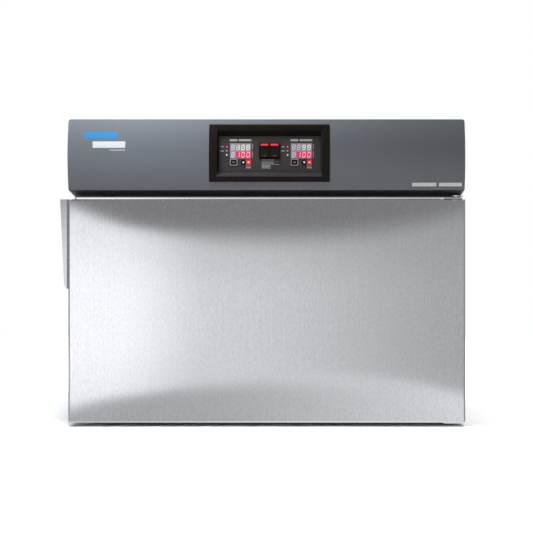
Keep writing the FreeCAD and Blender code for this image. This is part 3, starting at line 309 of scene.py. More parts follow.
FINISHES = {
    "stainless": brushed("brushed_stainless", (0.79, 0.797, 0.838), 0.095),
    "charcoal": painted("charcoal_paint", (0.164, 0.174, 0.190)),
    "galvanised": spangled("galvanised_sheet", (0.62, 0.64, 0.66)),
    "black_plastic": moulded("black_moulding", (0.010, 0.0075, 0.0062), 0.5, shine=0.14),
    "grey_overlay": moulded("grey_film", (0.040, 0.034, 0.032), 0.5, 2500, 0.01 * MM, shine=0.4),
    "display_lens": tinted_window("display_window", (0.25, 0.225, 0.255)),
    "lamp_lens": glowing("lamp_red", (1.0, 0.09, 0.12), 0.6),
    "red_plastic": moulded("red_moulding", (0.80, 0.03, 0.03), 0.3),
    "rubber": soft_rubber("foot_rubber", (0.022, 0.022, 0.023)),
    "gasket_rubber": soft_rubber("gasket_silicone", (0.42, 0.42, 0.41)),
    "insulation": fibre_board("mineral_fibre", (0.62, 0.52, 0.24)),
    "screw_steel": machined("plated_steel", (0.66, 0.67, 0.70), 0.24),
    "brass": machined("bearing_brass", (0.70, 0.52, 0.22), 0.3),
    "circuit_board": printed_board("circuit_board", (0.02, 0.11, 0.045)),
    "cable_jacket": moulded("silicone_jacket", (0.42, 0.06, 0.035), 0.5, 500, 0.05 * MM),
    "core_steel": laminated("core_laminations", (0.09, 0.09, 0.10)),
}
DOOR_STEEL = brushed("brushed_door", (0.79, 0.797, 0.838), 0.05)
HANDLE_STEEL = brushed("brushed_handle", (0.66, 0.665, 0.69), 0.12)
# Painted light: a lighter, rougher copy of the stainless, so that the front frame in the shaded gap
# above the door reads bright
FRAME_STEEL_PAINTED_LIGHT = brushed("satin_frame_painted_light", (0.90, 0.90, 0.91), 0.34)
# Painted shade: a near-black moulding for the screws' driver slots and the recess wall under the
# bezel's top
PAINTED_SHADE_BLACK = moulded("recess_shadow", (0.008, 0.006, 0.005), 0.7, shine=0.1)
# Painted light: a lighter, glossier copy of the black moulding, for the bezel's lit flares and the
# head's under-trim
PAINTED_LIGHT_BLACK = moulded("black_with_painted_light", (0.040, 0.036, 0.036), 0.35)
PALE_INK = ink("pale_print", (0.46, 0.45, 0.45))
DIM_INK = ink("dim_print", (0.33, 0.32, 0.32))
WHITE_INK = ink("white_print", (0.86, 0.87, 0.88))
BADGE_PALE = ink("badge_pale", (0.50, 0.51, 0.52))
BADGE_BLUE = ink("badge_blue", (0.026, 0.18, 0.38))
LIT_PALE = glowing("digit_pale", (0.82, 0.84, 0.62), 0.62)
LIT_RED = glowing("digit_red", (1.0, 0.34, 0.48), 0.9)
RED_GLOW = glowing("digit_glow", (0.56, 0.03, 0.075), 0.75)
UNLIT = ink("digit_unlit", (0.60, 0.59, 0.64))
LAMP_DIM = glowing("lamp_dim", (0.75, 0.33, 0.36), 0.25)
LAMP_PALE = glowing("lamp_pale", (0.62, 0.82, 0.78), 0.45)
RED_BAR = glowing("rocker_red", (0.85, 0.035, 0.05), 0.55)
RED_DIM = ink("rocker_mark", (0.20, 0.03, 0.025))


def dress_frame():
    """Gives every CAD node the finish of its slot in the record, but the front frame a lighter
    stainless and the head's under-trim the lighter black moulding, as painted light.
    """
    slots = {part["node"]: part["material_slot"] for part in frame["record"]["subparts"]}
    own_finishes = {"front_frame": FRAME_STEEL_PAINTED_LIGHT, "head_under_trim": PAINTED_LIGHT_BLACK}
    for name, node in nodes.items():
        for material_slot in node.material_slots:
            material_slot.material = own_finishes.get(name, FINISHES[slots[name]])


# Building meshes.


def placed(name, data):
    """A new object in the scene."""
    holder = bpy.data.objects.new(name, data)
    bpy.context.scene.collection.objects.link(holder)
    return holder


def make(name, shape, body, slot, replaced=(), finish=None, extra=(), bevel=0.0, smooth=35):
    """A piece in the shared frame from its (points, faces), riding on a body of the part.

    Its finish is its slot's own, if no other is given. Edges over the smooth angle stay sharp.
    """
    points, faces = shape
    mesh = bpy.data.meshes.new(name)
    mesh.from_pydata([tuple(point) for point in points], [], faces)
    form = bmesh.new()
    form.from_mesh(mesh)
    bmesh.ops.recalc_face_normals(form, faces=form.faces)
    form.to_mesh(mesh)
    form.free()
    mesh.shade_smooth()
    mesh.set_sharp_from_angle(angle=math.radians(smooth))
    for material in (finish or FINISHES[slot], *extra):
        mesh.materials.append(material)
    piece = placed(name, mesh)
    if bevel:
        soften(piece, bevel)
    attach(piece, body)
    if replaced:
        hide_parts(*replaced)
    return piece


def soften(piece, width):
    """Rounds the edges that turn by more than 30 degrees."""
    bevel = piece.modifiers.new("soft_edges", "BEVEL")
    bevel.width = width
    bevel.segments = 3
    bevel.limit_method = "ANGLE"
    bevel.angle_limit = math.radians(30)
    bevel.harden_normals = True


def merge(shapes):
    """Several (points, faces) shapes as one."""
    points, faces = [], []
    for more_points, more_faces in shapes:
        start = len(points)
        points += more_points
        faces += [[start + index for index in face] for face in more_faces]
    return points, faces


def bridge(first, second):
    """The faces between two closed loops of point numbers."""
    afters = [*range(1, len(first)), 0]
    return [[first[at], first[after], second[after], second[at]] for at, after in enumerate(afters)]


def loft(loops, ring=False):
    """A skin over loops of equal length: capped at its ends, or closed into a ring."""
    count = len(loops[0])
    points = [point for loop in loops for point in loop]
    rows = [list(range(start, start + count)) for start in range(0, len(points), count)]
    faces = []
    for first, second in zip(rows, rows[1:]):
        faces += bridge(first, second)
    faces += bridge(rows[-1], rows[0]) if ring else [rows[0], rows[-1]]
    return points, faces


def at_depth(outline, y):
    return [(x, y, z) for x, z in outline]


def extruded(outline, y0, y1):
    """An outline of (x, z) points carried between two depths."""
    return loft([at_depth(outline, y0), at_depth(outline, y1)])


def slab(low, high):
    """A block between two corners."""
    (x0, y0, z0), (x1, y1, z1) = low, high
    return extruded([(x0, z0), (x1, z0), (x1, z1), (x0, z1)], y0, y1)


def quarter_round(radius, steps):
    """The points of a rounded corner, as distances from its two sides."""
    angles = [math.pi / 2 * step / steps for step in range(steps + 1)]
    return [(radius * (1 - math.sin(angle)), radius * (1 - math.cos(angle))) for angle in angles]


def rounded(low, high, radius, corner_steps, side_steps=1):
    """An anticlockwise rounded rectangle of (x, z) points, its sides split into equal steps."""
    (x0, z0), (x1, z1) = low, high
    centres = ((x1 - radius, z0 + radius, -90), (x1 - radius, z1 - radius, 0),
               (x0 + radius, z1 - radius, 90), (x0 + radius, z0 + radius, 180))
    corners = []
    for x, z, start in centres:
        angles = [start + 90 * step / corner_steps for step in range(corner_steps + 1)]
        corners.append([(x + radius * math.cos(math.radians(angle)),
                         z + radius * math.sin(math.radians(angle))) for angle in angles])
    outline = []
    for number, corner in enumerate(corners):
        outline += corner
        (ax, az), (bx, bz) = corner[-1], corners[(number + 1) % 4][0]
        outline += [(ax + (bx - ax) * step / side_steps, az + (bz - az) * step / side_steps)
                    for step in range(1, side_steps)]
    return outline


def inset(low, high, amount):
    return (low[0] + amount, low[1] + amount), (high[0] - amount, high[1] - amount)


def lathe(profile, centre, axis):
    """A turned form from (radius, height) points, its heights along the axis from the centre."""
    steps = 24
    side = axis.orthogonal().normalized()
    across = axis.cross(side)
    turn = [2 * math.pi * step / steps for step in range(steps)]
    return loft([[centre + axis * height + (side * math.cos(a) + across * math.sin(a)) * radius
                  for a in turn] for radius, height in profile])


def pierced(xs, ys, zs, holes):
    """A slab between the two depths ys, with the (column, row) cells in holes left open."""
    columns, rows = len(xs), len(zs)
    points = [(x, y, z) for y in ys for z in zs for x in xs]

    def spot(side, row, column):
        return side * columns * rows + row * columns + column

    def solid(row, column):
        return (0 <= row < rows - 1 and 0 <= column < columns - 1 and (column, row) not in holes)

    faces = []
    for row in range(rows - 1):
        for column in range(columns - 1):
            if not solid(row, column):
                continue
            corners = [(row, column), (row, column + 1), (row + 1, column + 1), (row + 1, column)]
            for side in (0, 1):
                faces.append([spot(side, *corner) for corner in corners])
            for (step_row, step_column), (first, second) in zip(
                    ((-1, 0), (0, 1), (1, 0), (0, -1)), zip(corners, corners[1:] + corners[:1])):
                if not solid(row + step_row, column + step_column):
                    faces.append([spot(0, *first), spot(0, *second),
                                  spot(1, *second), spot(1, *first)])
    return points, faces


def islands(name):
    """The (low, high) boxes of a CAD node's separate solids."""
    form = bmesh.new()
    form.from_mesh(nodes[name].data)
    bmesh.ops.remove_doubles(form, verts=form.verts, dist=WELD)
    left = set(form.verts)
    boxes = []
    while left:
        reached = {left.pop()}
        front = list(reached)
        while front:
            vertex = front.pop()
            for edge in vertex.link_edges:
                other = edge.other_vert(vertex)
                if other not in reached:
                    reached.add(other)
                    front.append(other)
        left -= reached
        spots = [vertex.co for vertex in reached]
        boxes.append((Vector(min(s[i] for s in spots) for i in range(3)),
                      Vector(max(s[i] for s in spots) for i in range(3))))
    form.free()
    return sorted(boxes, key=lambda box: tuple(round(value, 5) for value in box[0]))


# Door.


def bend_rows(low, high, spans):
    """Places across a sheet with how far each end bend has turned back there."""
    turned = quarter_round(DOOR_BEND, 5)
    inner = (low + DOOR_BEND + BEND_HOLD, high - DOOR_BEND - BEND_HOLD)
    rows = [(low + inward, back) for inward, back in reversed(turned)]
    rows += [(inner[0] + (inner[1] - inner[0]) * step / spans, 0.0) for step in range(spans + 1)]
    return rows + [(high - inward, back) for inward, back in turned]


def door_front():
    """The crowned door skin with its bent edges, returns and rear lip."""
    low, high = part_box("door_skin")
    middle_z = (low.z + high.z) / 2
    half = (high.x, (high.z - low.z) / 2)
    xs = bend_rows(low.x, high.x, spans=40)
    zs = bend_rows(low.z, high.z, spans=28)
    points, faces = [], []
    for z, back_z in zs:
        for x, back_x in xs:
            crown = CROWN * (1 - (1 - (x / half[0]) ** 2) * (1 - ((z - middle_z) / half[1]) ** 2))
            points.append((x, low.y + crown + back_x + back_z, z))
    columns, rows = len(xs), len(zs)
    for row in range(rows - 1):
        for column in range(columns - 1):
            first = row * columns + column
            faces.append([first, first + 1, first + 1 + columns, first + columns])
    rim = list(range(columns))
    rim += [row * columns + columns - 1 for row in range(1, rows)]
    rim += [(rows - 1) * columns + column for column in range(columns - 2, -1, -1)]
    rim += [row * columns for row in range(rows - 2, 0, -1)]

    def ring_at(inward, y):
        """Adds the rim again at another depth, drawn in from the door's outline."""
        start = len(points)
        for index in rim:
            x, _, z = points[index]
            points.append((max(low.x + inward, min(high.x - inward, x)), y,
                           max(low.z + inward, min(high.z - inward, z))))
        return list(range(start, start + len(rim)))

    lip = high.y - MM
    rings = [rim, ring_at(0, high.y - SHEET / 3), ring_at(SHEET / 3, high.y),
             ring_at(SHEET, high.y), ring_at(SHEET, lip), ring_at(SHEET + FLANGE, lip)]
    for first, second in zip(rings, rings[1:]):
        faces += bridge(first, second)
    faces.append(rings[-1])
    make("door_front", (points, faces), "door", "stainless", ["door_skin"], DOOR_STEEL)


def door_core():
    """The door's fibre slab, drawn in a little from the bent edges of the skin."""
    low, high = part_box("door_insulation")
    gap = Vector((2 * MM, 2 * MM, 2 * MM))
    make("door_core", slab(low + gap, high - gap), "door", "insulation", ["door_insulation"],
         bevel=2 * MM)


def gasket():
    """A magnetic bellows seal: a full-width base, a folded neck and a soft bulb at the back."""
    low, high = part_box("door_gasket")
    width, corner = 12 * MM, 14 * MM
    # Shares of the seal's width inward and of its depth
    section = ((0, 0), (0, 0.36), (0.10, 0.42), (0.22, 0.47), (0.10, 0.54), (0.02, 0.62),
               (0.0, 0.76), (0.06, 0.90), (0.20, 0.985), (0.5, 1.0), (0.80, 0.985), (0.94, 0.90),
               (1.0, 0.76), (0.98, 0.62), (0.90, 0.54), (0.78, 0.47), (0.90, 0.42), (1, 0.36),
               (1, 0))
    loops = []
    for inward, depth in section:
        corners = inset((low.x, low.z), (high.x, high.z), inward * width)
        outline = rounded(*corners, corner - inward * width, 6)
        loops.append(at_depth(outline, low.y + depth * (high.y - low.y)))
    make("door_seal", loft(loops, ring=True), "door", "gasket_rubber", ["door_gasket"], smooth=60)


def handle():
    """The pull: a tapering wing bent out from a flange that is screwed to the door's left side."""
    low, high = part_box("door_handle")
    side, front = high.x, low.y
    sheet, bend, corner, raised = 2.5 * MM, 2.4 * MM, 7 * MM, 3.8 * MM
    reach_low, reach_top = 7 * MM, high.x - low.x
    bottom = low.z + raised
    heights = [(bottom + rise, cut) for cut, rise in quarter_round(corner, 6)] + [(high.z, 0.0)]
    loops = []
    for z, cut in heights:
        share = (z - bottom) / (high.z - bottom)
        reach = reach_low + (reach_top - reach_low) * share - cut
        tip = side - max(sheet + BEND_HOLD, reach)
        section = [(side - inward, front + back) for back, inward in quarter_round(bend, 4)]
        section += [(side - bend - BEND_HOLD, front), (tip, front), (tip, front + sheet),
                    (side - sheet, front + sheet), (side - sheet, high.y), (side, high.y)]
        loops.append([(x, y, z) for x, y in section])
    make("pull_handle", loft(loops), "door", "stainless", ["door_handle"], HANDLE_STEEL,
         bevel=0.5 * MM, smooth=40)


def cross_slot(centre, axis, radius, height):
    """A plus-shaped driver slot, as a thin form just under a screw's crown, coloured near-black as
    painted shade.
    """
    side = axis.orthogonal().normalized()
    across = axis.cross(side)
    arm, half = radius * 0.62, radius * 0.13
    outline = [(arm, -half), (arm, half), (half, half), (half, arm), (-half, arm),
               (-half, half), (-arm, half), (-arm, -half), (-half, -half), (-half, -arm),
               (half, -arm), (half, -half)]
    return loft([[centre + axis * at + side * u + across * v for u, v in outline]
                 for at in (height * 0.6, height)])


def screws(group, axis, body):
    """Pan-head screws where the CAD group has its own, with their heads at the axis's end."""
    node = f"{group}_screws"
    shank, head, head_height, crown = 2 * MM, 4 * MM, 2 * MM, 0.16 * MM
    shapes, slots = [], []
    for low, high in islands(node):
        length = abs((high - low).dot(axis))
        top = (low + high) / 2 + axis * length / 2
        profile = [(shank * 0.6, -length), (shank, -length + MM), (shank, -head_height),
                   (head, -head_height), (head, -0.9 * MM), (head * 0.86, -0.35 * MM),
                   (head * 0.55, -crown), (head * 0.2, -0.04 * MM)]
        shapes.append(lathe(profile, top, axis))
        slots.append(cross_slot(top - axis * crown * 1.1, axis, head, crown))
    piece = make(f"{group}_screw_heads", merge(shapes + slots), body, "screw_steel", [node],
                 extra=[PAINTED_SHADE_BLACK])
    first_slot = sum(len(faces) for _, faces in shapes)
    # The driver slots take the near-black painted shade
    for polygon in piece.data.polygons:
        if polygon.index >= first_slot:
            polygon.material_index = 1


def all_screws():
    """Every group of screws, with the way that its heads face."""
    back, left = Vector((0, 1, 0)), Vector((-1, 0, 0))
    for group, axis, body in (("casing", back, "cabinet"), ("head", back, "cabinet"),
                              ("door", back, "door"), ("hinge", -back, "cabinet"),
                              ("handle", left, "door")):
        screws(group, axis, body)


def frame_reveal():
    """A polished strip along the top of the front frame, leaning out a little at its top."""
    low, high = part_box("front_frame")
    edge, tall, lean, proud = 2 * MM, 9 * MM, 0.4 * MM, 0.05 * MM
    bottom, front = high.z - tall, low.y - proud
    section = [(low.y, bottom), (front, bottom), (front - lean, high.z), (low.y, high.z)]
    shape = loft([[(x, y, z) for y, z in section] for x in (low.x + edge, high.x - edge)])
    make("frame_reveal", shape, "cabinet", "stainless")


def hinge_caps():
    """Two bright domed fixings under the head at the hinge side, seen in the gap above the door."""
    low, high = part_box("head_under_trim")
    setback, down = 16 * MM, Vector((0, 0, -1))
    shapes = []
    for inward, radius in ((13.2 * MM, 6.2 * MM), (3.4 * MM, 3 * MM)):
        centre = Vector((high.x - inward, low.y + setback, low.z))
        profile = [(radius, 0.0), (radius, 1.2 * MM), (radius * 0.85, 2.0 * MM),
                   (radius * 0.5, 2.5 * MM), (radius * 0.1, 2.6 * MM)]
        shapes.append(lathe(profile, centre, down))
    make("hinge_caps", merge(shapes), "cabinet", "stainless", smooth=60)


# Control head.


def fascia_arc():
    """The centre (y, z) of the fascia's curved front."""
    trim_reveal, top_overhang = 0.5 * MM, 8.8 * MM
    low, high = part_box("head_fascia")
    low_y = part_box("head_under_trim")[0].y - trim_reveal
    top_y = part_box("door_skin")[0].y - top_overhang
    chord = Vector((top_y - low_y, high.z - low.z))
    middle = Vector(((low_y + top_y) / 2, (low.z + high.z) / 2))
    rise = math.sqrt(FASCIA_RADIUS ** 2 - chord.length ** 2 / 4)
    along = chord.normalized()
    return middle + Vector((along.y, -along.x)) * rise


ARC = fascia_arc()


def arc_face(z, radius=FASCIA_RADIUS):
    """The depth of the curved front at a height."""
    return ARC.x - math.sqrt(radius ** 2 - (z - ARC.y) ** 2)


def fascia():
    """The curved painted front with a window for the bezel."""
    low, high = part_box("head_fascia")
    bezel_low, bezel_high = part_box("control_bezel")
    window_x = (bezel_low.x - WINDOW_GAP, bezel_high.x + WINDOW_GAP)
    window_z = (bezel_low.z - WINDOW_GAP, bezel_high.z + WINDOW_GAP)
    spans = ((low.z, window_z[0], 4), (*window_z, 22), (window_z[1], high.z, 2))
    zs = [start + (end - start) * step / steps
          for start, end, steps in spans for step in range(steps)] + [high.z]
    ends = quarter_round(FASCIA_CORNER, 4)
    columns = [(low.x + inward, drop) for inward, drop in reversed(ends)]
    columns += [(window_x[0], 0.0), (window_x[1], 0.0)]
    columns += [(high.x - inward, drop) for inward, drop in ends]
    opening = len(ends)
    profile = [(high.y, low.z)] + [(arc_face(z), z) for z in zs] + [(high.y, high.z)]
    points = []
    for x, drop in columns:
        top = high.z - drop
        points += [(x, arc_face(min(z, top)) if y < high.y else y, min(z, top)) for y, z in profile]
    count = len(profile)
    beside = [row for row, (_, z) in enumerate(profile)
              if window_z[0] - WELD < z < window_z[1] + WELD]
    faces = []
    for column in range(len(columns) - 1):
        for row in range(count - 1):
            if column == opening and row in beside and row + 1 in beside:
                continue
            first = column * count + row
            faces.append([first, first + 1, first + 1 + count, first + count])
    faces.append(list(range(count)))
    faces.append([(len(columns) - 1) * count + row for row in range(count)])
    wall = [opening * count + row for row in beside]
    wall += [(opening + 1) * count + row for row in reversed(beside)]
    start = len(points)
    points += [(points[index][0], bezel_high.y, points[index][2]) for index in wall]
    faces += bridge(wall, list(range(start, len(points))))
    make("curved_fascia", (points, faces), "cabinet", "charcoal", ["head_fascia"],
         bevel=FASCIA_EDGE, smooth=25)


def bezel():
    """The black surround: soft outer edges on the arc and a flared recess behind them."""
    low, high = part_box("control_bezel")
    floor_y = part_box("control_overlay")[1].y
    radius = FASCIA_RADIUS + BEZEL_PROUD
    outer = ((low.x, low.z), (high.x, high.z))
    mouth = ((low.x + MOUTH_SIDE, low.z + MOUTH_LOW), (high.x - MOUTH_SIDE, high.z - MOUTH_HIGH))
    floor = ((mouth[0][0] + FLARE_SIDE, mouth[0][1] + FLARE_LOW),
             (mouth[1][0] - FLARE_SIDE, mouth[1][1] - FLARE_HIGH))

    def on_face(outline, sink=0.0):
        return [(x, max(low.y, arc_face(z, radius)) + sink, z) for x, z in outline]

    def around(corners, corner=BEZEL_CORNER):
        return rounded(*corners, corner, 6, 14)

    edge, chamfer, lip, film_hold = 1.2 * MM, 0.35 * MM, 0.05 * MM, 3 * MM
    crest_line, floor_line = around(mouth, 4 * MM), around(floor, 3 * MM)
    # Each flare line starts where it meets the curved front, found by going to and fro
    opening = []
    for (x0, z0), (x1, z1) in zip(crest_line, floor_line):
        share = 0.0
        for _ in range(12):
            z = z0 + (z1 - z0) * share
            share = (arc_face(z, radius) - low.y) / (floor_y - low.y)
        opening.append((x0 + (x1 - x0) * share, arc_face(z, radius), z))
    rim = around(inset(*floor, film_hold), 2 * MM)
    shoulder = around(inset(*outer, edge))
    lands = [on_face([(x0 + (x1 - x0) * share, z0 + (z1 - z0) * share)
                      for (x0, z0), (x1, _, z1) in zip(shoulder, opening)])
             for share in (0.25, 0.5, 0.75)]
    loops = [
        at_depth(around(outer), high.y),
        on_face(around(outer), edge),
        on_face(around(inset(*outer, chamfer)), chamfer),
        on_face(shoulder),
        *lands,
        [(x, y + lip, z) for x, y, z in opening],
        [(x, y + (floor_y - y) * 0.06, z) for x, y, z in opening],
        at_depth(floor_line, floor_y),
        at_depth(rim, floor_y),
        at_depth(rim, high.y),
    ]
    piece = make("panel_bezel", loft(loops, ring=True), "cabinet", "black_plastic",
                 ["control_bezel"], extra=(PAINTED_SHADE_BLACK, PAINTED_LIGHT_BLACK), bevel=0.4 * MM, smooth=30)
    # Painted shade and light: the flare under the recess's top is near-black, and its bottom and
    # right flares take the lighter, glossier copy of the black, as light falls from the upper left
    for polygon in piece.data.polygons:
        x, y, z = polygon.center
        in_mouth = mouth[0][0] < x < mouth[1][0] and mouth[0][1] < z < mouth[1][1]
        if in_mouth and y < floor_y - 0.1 * MM:
            if z > floor[1][1]:
                polygon.material_index = 1
            elif z < floor[0][1] or x > floor[1][0]:
                polygon.material_index = 2


def overlay():
    """The printed film on the recess floor, open for the rocker housing."""
    low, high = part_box("control_overlay")
    hole_low, hole_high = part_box("rocker_housing")
    shape = pierced((low.x, hole_low.x, hole_high.x, high.x), (low.y, high.y),
                    (low.z, hole_low.z, hole_high.z, high.z), {(1, 1)})
    make("panel_film", shape, "cabinet", "grey_overlay", ["control_overlay"], bevel=0.1 * MM)


def bars(name, rows, finish, front):
    """Plain printed bars, each (x0, x1, z0, z1) in millimetres, standing on a flat front."""
    shapes = [slab((x0 * MM, front - PRINT, z0 * MM), (x1 * MM, front, z1 * MM))
              for x0, x1, z0, z1 in rows]
    make(name, merge(shapes), "cabinet", "grey_overlay", finish=finish)


def panel_prints():
    """Generic marks in place of the panel's words: title bars, ticks and plain lines."""
    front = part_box("control_overlay")[0].y
    for side in SIDES:
        low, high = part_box(f"display_{side}")
        x = (low.x + high.x) / 2 / MM
        bars(f"title_bar_{side}", [
            (x - 18.3, x - 5.5, 485.2, 488.5), (x - 3.2, x + 18.2, 485.2, 488.5),
        ], PALE_INK, front)
        bars(f"tick_marks_{side}", [
            (x - 32.9, x - 28.2, 474.9, 476.4), (x - 34.2, x - 27.8, 467.9, 469.4),
            (x + 19.8, x + 20.7, 471.8, 480.3), (x + 19.8, x + 20.7, 457.4, 468.4),
            (x + 9.4, x + 17.9, 442.4, 444.2), (x + 9.8, x + 17.5, 439.3, 441.2),
        ], DIM_INK, front)
    # Seven lines under the switches, the last three shorter, and two beside them
    pitch = 2.3
    lines = [(-8.0, 12.5 if row < 4 else 6.5, 453.0 - row * pitch, 454.3 - row * pitch)
             for row in range(7)]
    lines += [(13.6, 20.7, 450.4, 451.4), (10.5, 20.7, 445.5, 446.5)]
    bars("panel_lines", lines, DIM_INK, front)


def digit_segments(x, z):
    """The seven segments of one slanted digit round a middle, as outlines of (x, z) points."""
    half, tall = DIGIT_WIDTH / 2, DIGIT_HEIGHT / 2
    gap = DIGIT_STROKE * 0.12
    outlines = {}
    for name, (x0, z0, x1, z1) in SEGMENTS.items():
        start, end = Vector((x0 * half, z0 * tall)), Vector((x1 * half, z1 * tall))
        along = (end - start).normalized()
        side = Vector((-along.y, along.x)) * DIGIT_STROKE / 2
        start, end = start + along * gap, end - along * gap
        tip = along * DIGIT_STROKE / 2
        corners = (start, start + tip - side, end - tip - side,
                   end, end - tip + side, start + tip + side)
        outlines[name] = [(x + corner.x + DIGIT_SLANT * corner.y, z + corner.y)
                          for corner in corners]
    return outlines


def readout(side):
    """The window of one display: pale digits over red ones, and a red glow behind the red."""
    low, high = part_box(f"display_{side}")
    digits_proud, glow_proud, glow_reach = 0.06 * MM, 0.02 * MM, 5.2 * MM
    front = low.y + digits_proud
    window = extruded(rounded((low.x, low.z), (high.x, high.z), 0.6 * MM, 3), front, high.y)
    make(f"window_{side}", window, "cabinet", "display_lens", [f"display_{side}"],
         bevel=0.25 * MM)
    finishes = {"lit_0": LIT_PALE, "lit_1": LIT_RED, "unlit": UNLIT}
    shapes = {key: [] for key in finishes}
    # Places in shares of the window's height, and across it in cells
    first_row, row_step = 0.275, 0.485
    first_cell, glow_start, glow_end = 0.6, 1.12, 4.1
    pitch = (high.x - low.x) / 4.2
    for row, text in enumerate(READOUTS[side]):
        z = high.z - (first_row + row_step * row) * (high.z - low.z)
        if row == 1:
            glow = slab((low.x + pitch * glow_start, front - glow_proud, z - glow_reach),
                        (low.x + pitch * glow_end, front, z + glow_reach))
            make(f"digit_glow_{side}", glow, "cabinet", "display_lens", finish=RED_GLOW)
        for cell, character in enumerate(text):
            lit = SEGMENTS_LIT.get(character, "")
            for name, outline in digit_segments(low.x + pitch * (cell + first_cell), z).items():
                key = f"lit_{row}" if name in lit else "unlit"
                if name in lit or row == 0 or not lit:
                    shapes[key].append(extruded(outline, low.y, front))
    for key, group in shapes.items():
        make(f"digits_{key}_{side}", merge(group), "cabinet", "display_lens", finish=finishes[key])


def lamps():
    """Domed indicator lenses: red at the top, dim in the middle and pale below."""
    looks = (LAMP_PALE, LAMP_DIM, FINISHES["lamp_lens"])
    boxes = islands("indicator_leds")
    levels = sorted({round(low.z, 4) for low, _ in boxes})
    forward = Vector((0, -1, 0))
    for number, (level, look) in enumerate(zip(levels, looks)):
        shapes = []
        for low, high in boxes:
            if round(low.z, 4) != level:
                continue
            radius = (high.x - low.x) / 2
            centre = Vector(((low.x + high.x) / 2, low.y, (low.z + high.z) / 2))
            profile = [(radius, low.y - high.y), (radius, -0.55 * MM), (radius * 0.92, -0.3 * MM),
                       (radius * 0.7, -0.12 * MM), (radius * 0.4, -0.02 * MM), (radius * 0.1, 0.0)]
            shapes.append(lathe(profile, centre, forward))
        replaced = ["indicator_leds"] if number == 0 else []
        make(f"lamp_lenses_{number}", merge(shapes), "cabinet", "lamp_lens", replaced, look)


def arrow(x, z, size, way):
    """A triangle that points up for a way of 1 and down for -1."""
    foot = z - way * size * 0.55
    return [(x - size, foot), (x + size, foot), (x, z + way * size)]


def keys():
    """Set, down and up keys below each display, with plain marks on their caps."""
    stem, corner, ring_width, ring_proud = 7 * MM, 1.2 * MM, 1.1 * MM, 0.25 * MM
    mark_x, mark_z = 1.8 * MM, 0.7 * MM
    for side in SIDES:
        low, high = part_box(f"set_key_{side}")
        corners = (low.x, low.z), (high.x, high.z)
        cap = low.y + ring_proud
        body = f"set_key_{side}_body"
        make(f"set_cap_{side}", extruded(rounded(*corners, corner, 4), cap, low.y + stem),
             body, "black_plastic", [f"set_key_{side}"], bevel=0.2 * MM)
        ring = [at_depth(rounded(*inset(*corners, amount), corner - amount * 0.6, 4), y)
                for amount, y in ((0, cap), (0, low.y), (ring_width, low.y), (ring_width, cap))]
        make(f"set_ring_{side}", loft(ring, ring=True), body, "grey_overlay", finish=DIM_INK,
             bevel=0.1 * MM)
        middle = (low + high) / 2
        mark = slab((middle.x - mark_x, cap - PRINT, middle.z - mark_z),
                    (middle.x + mark_x, cap, middle.z + mark_z))
        make(f"set_mark_{side}", mark, body, "grey_overlay", finish=DIM_INK)
        for name, way, slot in (("down", -1, "black_plastic"), ("up", 1, "red_plastic")):
            node = f"{name}_key_{side}"
            low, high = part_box(node)
            # The down key is all but round, and the up key a square with rounded corners
            radius, steps = ((high.x - low.x) / 2 - WELD, 8) if name == "down" else (1.5 * MM, 4)
            outline = rounded((low.x, low.z), (high.x, high.z), radius, steps)
            cap = low.y + PRINT
            body = f"{node}_body"
            make(f"{name}_cap_{side}", extruded(outline, cap, low.y + stem), body, slot, [node],
                 bevel=0.35 * MM)
            middle = (low + high) / 2
            mark = extruded(arrow(middle.x, middle.z, 2.1 * MM, way), low.y, cap)
            make(f"{name}_arrow_{side}", mark, body, "grey_overlay", finish=WHITE_INK)


def rocker_switches():
    """Two valley rockers in their housing, tops pressed, each with a red bar and a small mark."""
    low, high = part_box("rocker_housing")
    rooms = []
    for side in SIDES:
        cap_low, cap_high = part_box(f"rocker_{side}")
        rooms.append((cap_low.x + 0.5 * MM, cap_high.x - 0.5 * MM))
    rim = 0.7 * MM
    housing = pierced((low.x, *rooms[0], *rooms[1], high.x), (low.y, high.y),
                      (low.z, low.z + rim, high.z - rim, high.z), {(1, 1), (3, 1)})
    make("switch_housing", housing, "cabinet", "black_plastic", ["rocker_housing"],
         bevel=0.25 * MM)
    tall, crest, dip, root = 11.9 * MM, -3.5 * MM, -1.5 * MM, 4 * MM
    edge, play, bar_inset, bar_proud, mark_half = 0.5 * MM, 0.4 * MM, 0.3 * MM, 0.02 * MM, 1.6 * MM
    pivot = Vector((0, low.y + root / 2, (low.z + high.z) / 2))
    turn = Matrix.Rotation(-ROCKER_TILT, 3, "X")

    def tipped(outline, x0, x1):
        """A (depth, height) outline round the pivot, tilted and carried between two places in x."""
        return loft([[turn @ Vector((0, y, z)) + pivot + Vector((x, 0, 0)) for y, z in outline]
                     for x in (x0, x1)])

    def upright(front, bottom, top):
        """A raised block's outline, from its front back into the rocker."""
        return [(front, bottom), (front, top), (0, top), (0, bottom)]

    valley = [(crest + edge, -tall), (crest, -tall + edge)]
    valley += [(dip + (crest - dip) * (level / 6) ** 2, tall * 0.95 * level / 6)
               for level in range(-6, 7)]
    valley += [(crest, tall - edge), (crest + edge, tall), (0, tall), (root, tall / 2),
               (root, -tall / 2), (0, -tall)]
    for side, (x0, x1) in zip(SIDES, rooms):
        x0, x1 = x0 + play, x1 - play
        middle = (x0 + x1) / 2
        body = f"{side}_rocker"
        make(f"switch_rocker_{side}", tipped(valley, x0, x1), body, "black_plastic",
             [f"rocker_{side}"], bevel=0.3 * MM)
        bar = tipped(upright(crest - bar_proud, tall * 0.70, tall), x0 + bar_inset, x1 - bar_inset)
        make(f"switch_bar_{side}", bar, body, "red_plastic", finish=RED_BAR, bevel=0.15 * MM)
        mark = tipped(upright(crest * 0.99, -tall * 0.86, -tall * 0.72),
                      middle - mark_half, middle + mark_half)
        make(f"switch_mark_{side}", mark, body, "red_plastic", finish=RED_DIM)


